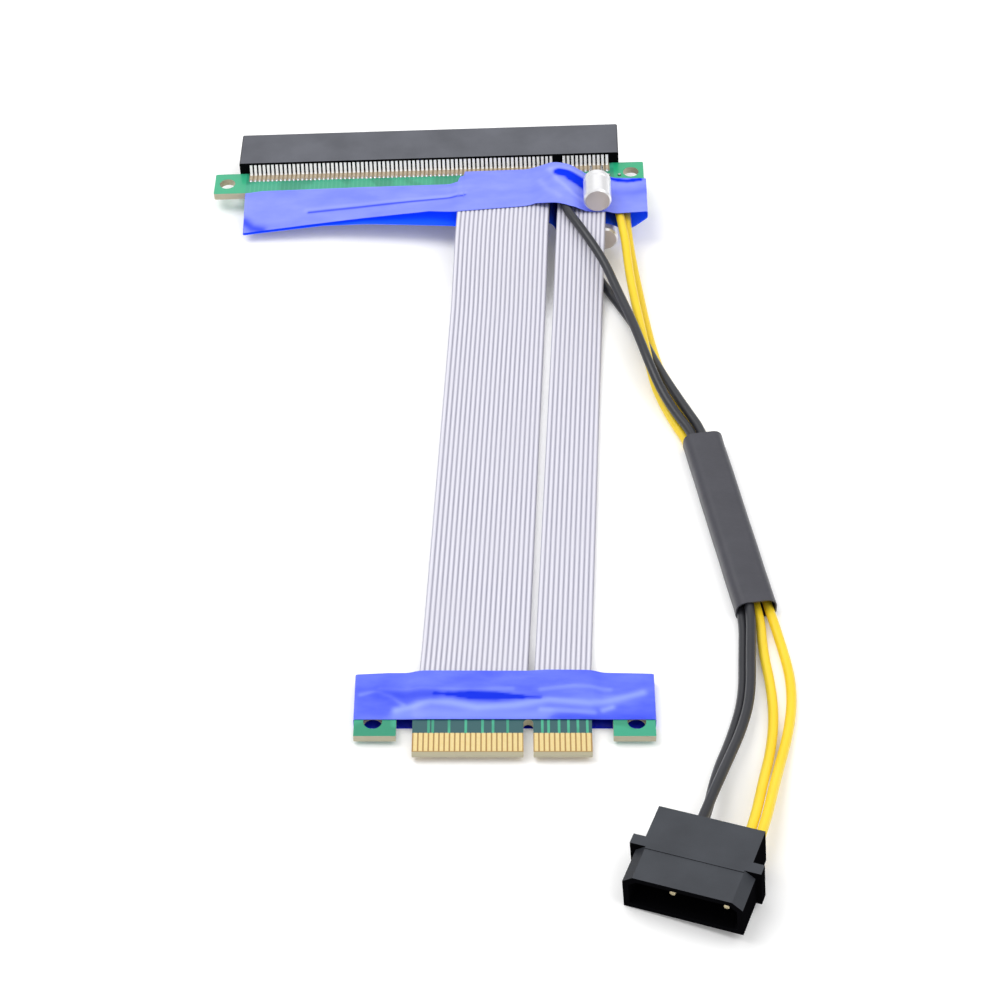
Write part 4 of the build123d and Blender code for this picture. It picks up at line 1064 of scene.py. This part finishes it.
def fold_value(x, y, strokes):
    """Sum of soft strokes: above 0 a raised fold, paler with a painted highlight, below 0 a crease, deeper
    with painted shade.
    """
    value = 0.0
    for line, width, amount in strokes:
        away = stroke_distance(x, y, line) / width
        if away < 3.0:
            value += amount * math.exp(-away * away)
    return max(-1.0, min(1.0, value))


def tape_band(name, stations, loose, limits, place, sizes, strokes, relief, material):
    """A band of tape round a closed outline of x and z, between two y limits that vary."""
    even = even_outlines(stations, POINT_SPACING, loose)
    count = len(even[0][1])
    middle = blend_outlines(even, (even[0][0] + even[-1][0]) / 2)
    rings = []
    folds = []
    for i in range(count):
        run = middle[(i + 1) % count] - middle[i - 1]
        near, far = limits(middle[i][0], run[0] < 0)
        outside = []
        inside = []
        values = []
        for step in range(TAPE_STEPS + 1):
            y = near + (far - near) * step / TAPE_STEPS
            outline = blend_outlines(even, y)
            point = outline[i]
            run = outline[(i + 1) % count] - outline[i - 1]
            outward = Vector((-run[1], run[0])).normalized()
            lift = 0.0
            value = 0.0
            on_top = outward[1] > 0.3
            if on_top:
                value = fold_value(point[0], y, strokes)
                # The rucks run along the tape
                ruck = noise.noise(Vector((point[0] * 0.12, y * 0.35, 3.1)))
                lift = relief(point[0], y) + RUCK_HEIGHT * max(0.0, ruck) + STROKE_HEIGHT * max(0.0, value)
            base = point + outward * lift
            top = base + outward * sizes.tape_thickness / MM
            outside.append(place(top[0], y, top[1]))
            inside.append(place(base[0], y, base[1]))
            values.append(value)
        rings.append(outside + inside[::-1])
        folds += values + values[::-1]
    band = loft(name, rings, material, cyclic=True)
    fold = band.data.attributes.new("fold", "FLOAT", "POINT")
    fold.data.foreach_set("value", folds)
    adhesive = band.data.attributes.new("adhesive", "FLOAT", "POINT")
    sides = [0.0] * (TAPE_STEPS + 1) + [1.0] * (TAPE_STEPS + 1)
    adhesive.data.foreach_set("value", sides * count)
    return band


class TapesOperator(bpy.types.Operator):
    """Wraps the blue tape round both ends of the ribbons."""

    bl_idname = "riser.tapes"
    bl_label = "Blue tape"

    def execute(self, context):
        colours = context.scene.riser_colours
        sizes = context.scene.riser_sizes
        # Per tape: face, paler streaks and painted highlight, painted shade, and the adhesive side, whose
        # colour also gives the painted glow
        upper_film = tape_film("blue_polyester_tape_upper", colours.tape, "#a3aeff", "#1234ea", "#1450f7")
        lower_film = tape_film("blue_polyester_tape_lower", "#475bee", "#8ea2ff", "#1c35de", "#0a1fd0")
        lower = tape_band(
            "lower_tape_wrap", LOWER_STATIONS, LOWER_LOOSE, lower_limits, on_table, sizes,
            LOWER_STROKES, no_relief, lower_film,
        )
        upper = tape_band(
            "upper_tape_wrap", UPPER_STATIONS, UPPER_LOOSE, upper_limits, riser_point, sizes,
            UPPER_STROKES, second_layer, upper_film,
        )
        for piece, node, flat, rests in (
            (lower, "lower_tape", (0.124, 0.012), "lower_board"),
            (upper, "upper_tape", (0.195, 0.0125), "upper_board"),
        ):
            lay(piece, node)
        return {"FINISHED"}


# Heights of the film's inside, in millimetres. The first two are over the table, under and on
# top of the lower board. The others are from the middle of the upper board: at its faces, at the
# ribbons, at the black wires and at the yellow ones.
TABLE_FILM = 0.1
LOWER_FILM = 2.65
BOARD_FILM = 0.85
RIBBON_FILM = 1.65
TENT_FILM = 3.95
YELLOW_FILM = 2.95


def lower_outline(rise):
    """Inside of the lower tape, with the ribbons' rise, in the shared frame."""
    over = LOWER_FILM + rise
    return [
        (-11.47, TABLE_FILM), (-11.47, LOWER_FILM), (-0.95, LOWER_FILM), (0.65, over), (34.53, over),
        (36.13, LOWER_FILM), (46.38, LOWER_FILM), (46.38, TABLE_FILM),
    ]


def upper_outline(left, fold, root, under_root, sag):
    """Inside of the upper tape in the upper board's frame, from the left end over the top and
    back underneath: its heights at the left end, at the fold and at the wide ribbon's edge,
    and how far it sags under the wires."""
    sagging = -YELLOW_FILM - sag
    under_wires = -TENT_FILM - sag
    over = [
        (-42.5, left[0]), (-15.0, fold[0]), (5.65, root), (6.45, RIBBON_FILM), (23.25, RIBBON_FILM + 0.1),
        (29.75, TENT_FILM), (32.85, TENT_FILM), (36.85, RIBBON_FILM + 0.1), (41.5, RIBBON_FILM),
        (42.3, BOARD_FILM), (50.3, BOARD_FILM),
    ]
    under = [
        (50.3, -BOARD_FILM), (46.85, sagging), (43.0 + 2.5 * sag, sagging), (41.5, -RIBBON_FILM),
        (33.85, -RIBBON_FILM), (32.85, under_wires), (29.75, under_wires), (28.75, -RIBBON_FILM),
        (6.45, -RIBBON_FILM), (5.65, under_root), (-15.0, fold[1]), (-42.5, left[1]),
    ]
    return over + under


# Outlines at places along y, from far to near, and the x limits between which they are loose
LOWER_STATIONS = ((-72.0, lower_outline(0.8)), (-79.6, lower_outline(0.8)), (-83.9, lower_outline(0.1)))
LOWER_LOOSE = (-10.0, 45.0)
FLAT_TAPE = upper_outline((BOARD_FILM, -BOARD_FILM), (0.95, -0.95), BOARD_FILM, -BOARD_FILM, 0.0)
HANGING_TAPE = upper_outline((-2.75, -3.05), (-1.15, -1.45), 1.55, -1.55, 0.6)
UPPER_STATIONS = ((0.0, FLAT_TAPE), (-7.65, FLAT_TAPE), (-20.35, HANGING_TAPE))
UPPER_LOOSE = (-41.0, 49.0)
# Folds of the film, as seen in the photo: a line of x and y, its half width, and how pale its painted
# highlight is, or below 0 how deep its painted shade is
UPPER_STROKES = (
    (((-27.5, -14.1), (-13.6, -13.2), (-1.8, -12.6), (8.6, -12.2)), 0.32, -1.0),
    (((-28.0, -13.4), (-13.6, -12.4), (-1.8, -11.8), (8.6, -11.4)), 0.6, 0.35),
    (((-42.5, -15.6), (-40.5, -17.6), (-38.2, -18.4)), 1.2, -0.8),
    (((30.2, -7.3), (33.4, -8.6), (36.8, -9.8)), 1.0, -3.0),
    (((33.4, -9.6), (36.8, -11.6)), 1.1, -3.0),
    (((28.0, -5.4), (32.0, -6.2), (37.0, -7.6)), 0.7, 0.5),
    (((28.4, -6.0), (30.0, -10.5), (33.5, -15.5), (38.5, -18.5)), 0.6, 0.55),
    (((26.0, -9.0), (27.6, -13.0), (30.5, -16.5)), 0.8, 0.35),
    (((42.6, -7.0), (46.0, -7.7), (49.0, -7.2)), 0.5, -2.5),
    (((43.0, -12.0), (47.0, -12.5), (50.0, -11.5)), 1.6, -0.3),
)
LOWER_STROKES = (
    (((11.0, -78.5), (15.6, -78.6)), 1.05, -1.0),
    (((9.0, -78.35), (13.8, -78.55), (18.0, -78.7)), 0.85, -1.0),
    (((6.6, -78.15), (13.8, -78.55), (20.8, -78.85)), 0.6, -1.0),
    (((4.0, -77.95), (13.8, -78.55), (24.2, -79.0)), 0.38, -1.0),
    (((-6.7, -77.2), (-1.5, -78.0), (3.6, -78.2)), 1.6, -0.55),
    (((-6.7, -76.2), (3.2, -76.7), (11.8, -77.0), (18.9, -76.7)), 0.5, 0.35),
    (((-10.4, -77.7), (-7.5, -76.8), (-4.7, -78.0), (-2.1, -80.2)), 0.5, 0.45),
    (
        ((-3.4, -81.6), (3.2, -79.9), (7.1, -80.2), (12.2, -81.2), (19.3, -80.8), (26.0, -79.6),
         (33.8, -80.3), (38.9, -78.9), (44.1, -77.2)), 0.85, 0.8,
    ),
    (((-3.4, -82.9), (3.3, -82.6), (11.9, -82.9), (25.9, -82.9)), 1.3, 0.5),
    (((24.4, -81.7), (29.8, -82.0), (34.5, -82.4)), 0.6, 0.6),
    (((36.3, -81.7), (38.1, -80.9)), 0.6, 0.8),
    (((24.4, -77.0), (30.7, -76.0), (37.8, -76.4)), 0.5, 0.45),
    (((26.7, -83.6), (37.6, -83.6), (45.4, -83.6)), 0.9, -0.4),
    (((-9.7, -80.6), (-6.5, -81.6)), 2.0, -0.25),
)


def along(points, x):
    """The y of a line through (x, y) points, sorted by x, at x."""
    for (x0, y0), (x1, y1) in zip(points, points[1:]):
        if x <= x1:
            share = (x - x0) / (x1 - x0)
            return y0 + (y1 - y0) * max(0.0, share)
    return points[-1][1]


# The upper film's edges as lines of x and y in millimetres, in the upper board's frame
UPPER_FAR = [
    (-43.5, -7.75), (-41.5, -7.75), (-38.5, -7.2), (7.0, -6.7), (7.3, -4.9), (8.2, -4.8), (8.3, -3.25),
    (28.5, -3.25), (36.5, -5.9), (51.3, -6.9),
]
UPPER_NEAR = [
    (-43.5, -18.9), (-15.0, -16.8), (0.45, -16.8), (6.45, -18.2), (25.0, -16.9), (32.7, -20.2), (40.0, -19.9),
    (51.3, -19.2),
]
UPPER_NEAR_UNDER = [
    (-43.5, -18.9), (-24.0, -17.5), (-12.0, -18.0), (6.45, -19.4), (25.0, -18.4), (32.7, -20.2),
    (40.0, -19.9), (51.3, -19.2),
]
# Where the film's end overlaps its start: from an x on, all of it at one y and none at another
SECOND_LAYER = (8.25, -12.0, -14.5)
# The lower film's edges, in the shared frame
LOWER_FAR = [(-12.0, -72.5), (-5.0, -72.1), (22.0, -72.2), (25.5, -71.9), (36.0, -72.0), (47.0, -72.3)]
LOWER_NEAR = -83.88


def lower_limits(x, under):
    """Near and far edge of the lower tape at one place across it, the same underneath."""
    return LOWER_NEAR, along(LOWER_FAR, x)


def upper_limits(x, under):
    """Near and far edge of the upper tape at one place across it, on top or underneath."""
    return along(UPPER_NEAR_UNDER if under else UPPER_NEAR, x), along(UPPER_FAR, x)


def no_relief(x, y):
    """No extra height: the lower tape shows one layer on top."""
    return 0.0


def second_layer(x, y):
    """Extra height of the upper tape where its end overlaps its start."""
    left, full, gone = SECOND_LAYER
    if x <= left:
        return 0.0
    return OVERLAP_HEIGHT * max(0.0, min(1.0, (y - gone) / (full - gone)))


class CapacitorsOperator(bpy.types.Operator):
    """Finishes the two capacitors."""

    bl_idname = "riser.capacitors"
    bl_label = "Capacitors"

    def execute(self, context):
        # The last colour is painted shade on the end of the can that faces -y
        can = drawn_aluminium("drawn_aluminium_can", "#fdfdfd", "#ececf0", "#d6cecd")
        rubber = bung_rubber("pressed_rubber", "#1c1c1d", "#29292b")
        lead = plated_metal("tinned_copper_lead", "#dcdcdc", "#b4b4b6", 0.25)
        for end in ("top", "bottom"):
            dress("capacitor_can_" + end, can, 0.1)
            dress("capacitor_bung_" + end, rubber, 0.08)
            dress("capacitor_leads_" + end, lead)
        return {"FINISHED"}


class PlugOperator(bpy.types.Operator):
    """Finishes the power plug and its pins."""

    bl_idname = "riser.plug"
    bl_label = "Power plug"

    def execute(self, context):
        # A painted sheen on the upward faces from 3.5 mm up; the floor of the mouth keeps the near-black as
        # painted shade
        nylon = moulded_plastic("black_nylon_plug", "#0a0a0c", "#42454b", 0.45, sheen_from=3.5)
        brass = plated_metal("tinned_brass_pin", "#e2d7b4", "#bfae86", 0.22)
        dress("plug_housing", nylon, 0.18)
        for node in ("ground_pin", "supply_pin"):
            dress(node, brass, 0.05)
        return {"FINISHED"}


class RiserPanel(bpy.types.Panel):
    """Buttons for each group of pieces."""

    bl_idname = "VIEW3D_PT_riser"
    bl_label = "Riser card"
    bl_space_type = "VIEW_3D"
    bl_region_type = "UI"
    bl_category = "Riser"

    def draw(self, context):
        for step in STEPS:
            self.layout.operator(step.bl_idname)
        for group in (context.scene.riser_sizes, context.scene.riser_colours):
            for name in group.bl_rna.properties.keys():
                if name not in ("rna_type", "name"):
                    self.layout.prop(group, name)


STEPS = (
    StageOperator, WiresOperator, RibbonsOperator, BoardsOperator, SocketOperator, TapesOperator,
    CapacitorsOperator, PlugOperator,
)
CLASSES = (RiserSizes, RiserColours, *STEPS, RiserPanel)


def register():
    for cls in CLASSES:
        bpy.utils.register_class(cls)
    bpy.types.Scene.riser_sizes = bpy.props.PointerProperty(type=RiserSizes)
    bpy.types.Scene.riser_colours = bpy.props.PointerProperty(type=RiserColours)


def unregister():
    del bpy.types.Scene.riser_colours
    del bpy.types.Scene.riser_sizes
    for cls in reversed(CLASSES):
        bpy.utils.unregister_class(cls)


def main():
    """Runs every step."""
    register()
    bpy.ops.riser.stage()
    bpy.ops.riser.wires()
    bpy.ops.riser.ribbons()
    bpy.ops.riser.boards()
    bpy.ops.riser.socket()
    bpy.ops.riser.tapes()
    bpy.ops.riser.capacitors()
    bpy.ops.riser.plug()


if __name__ == "__main__":
    main()
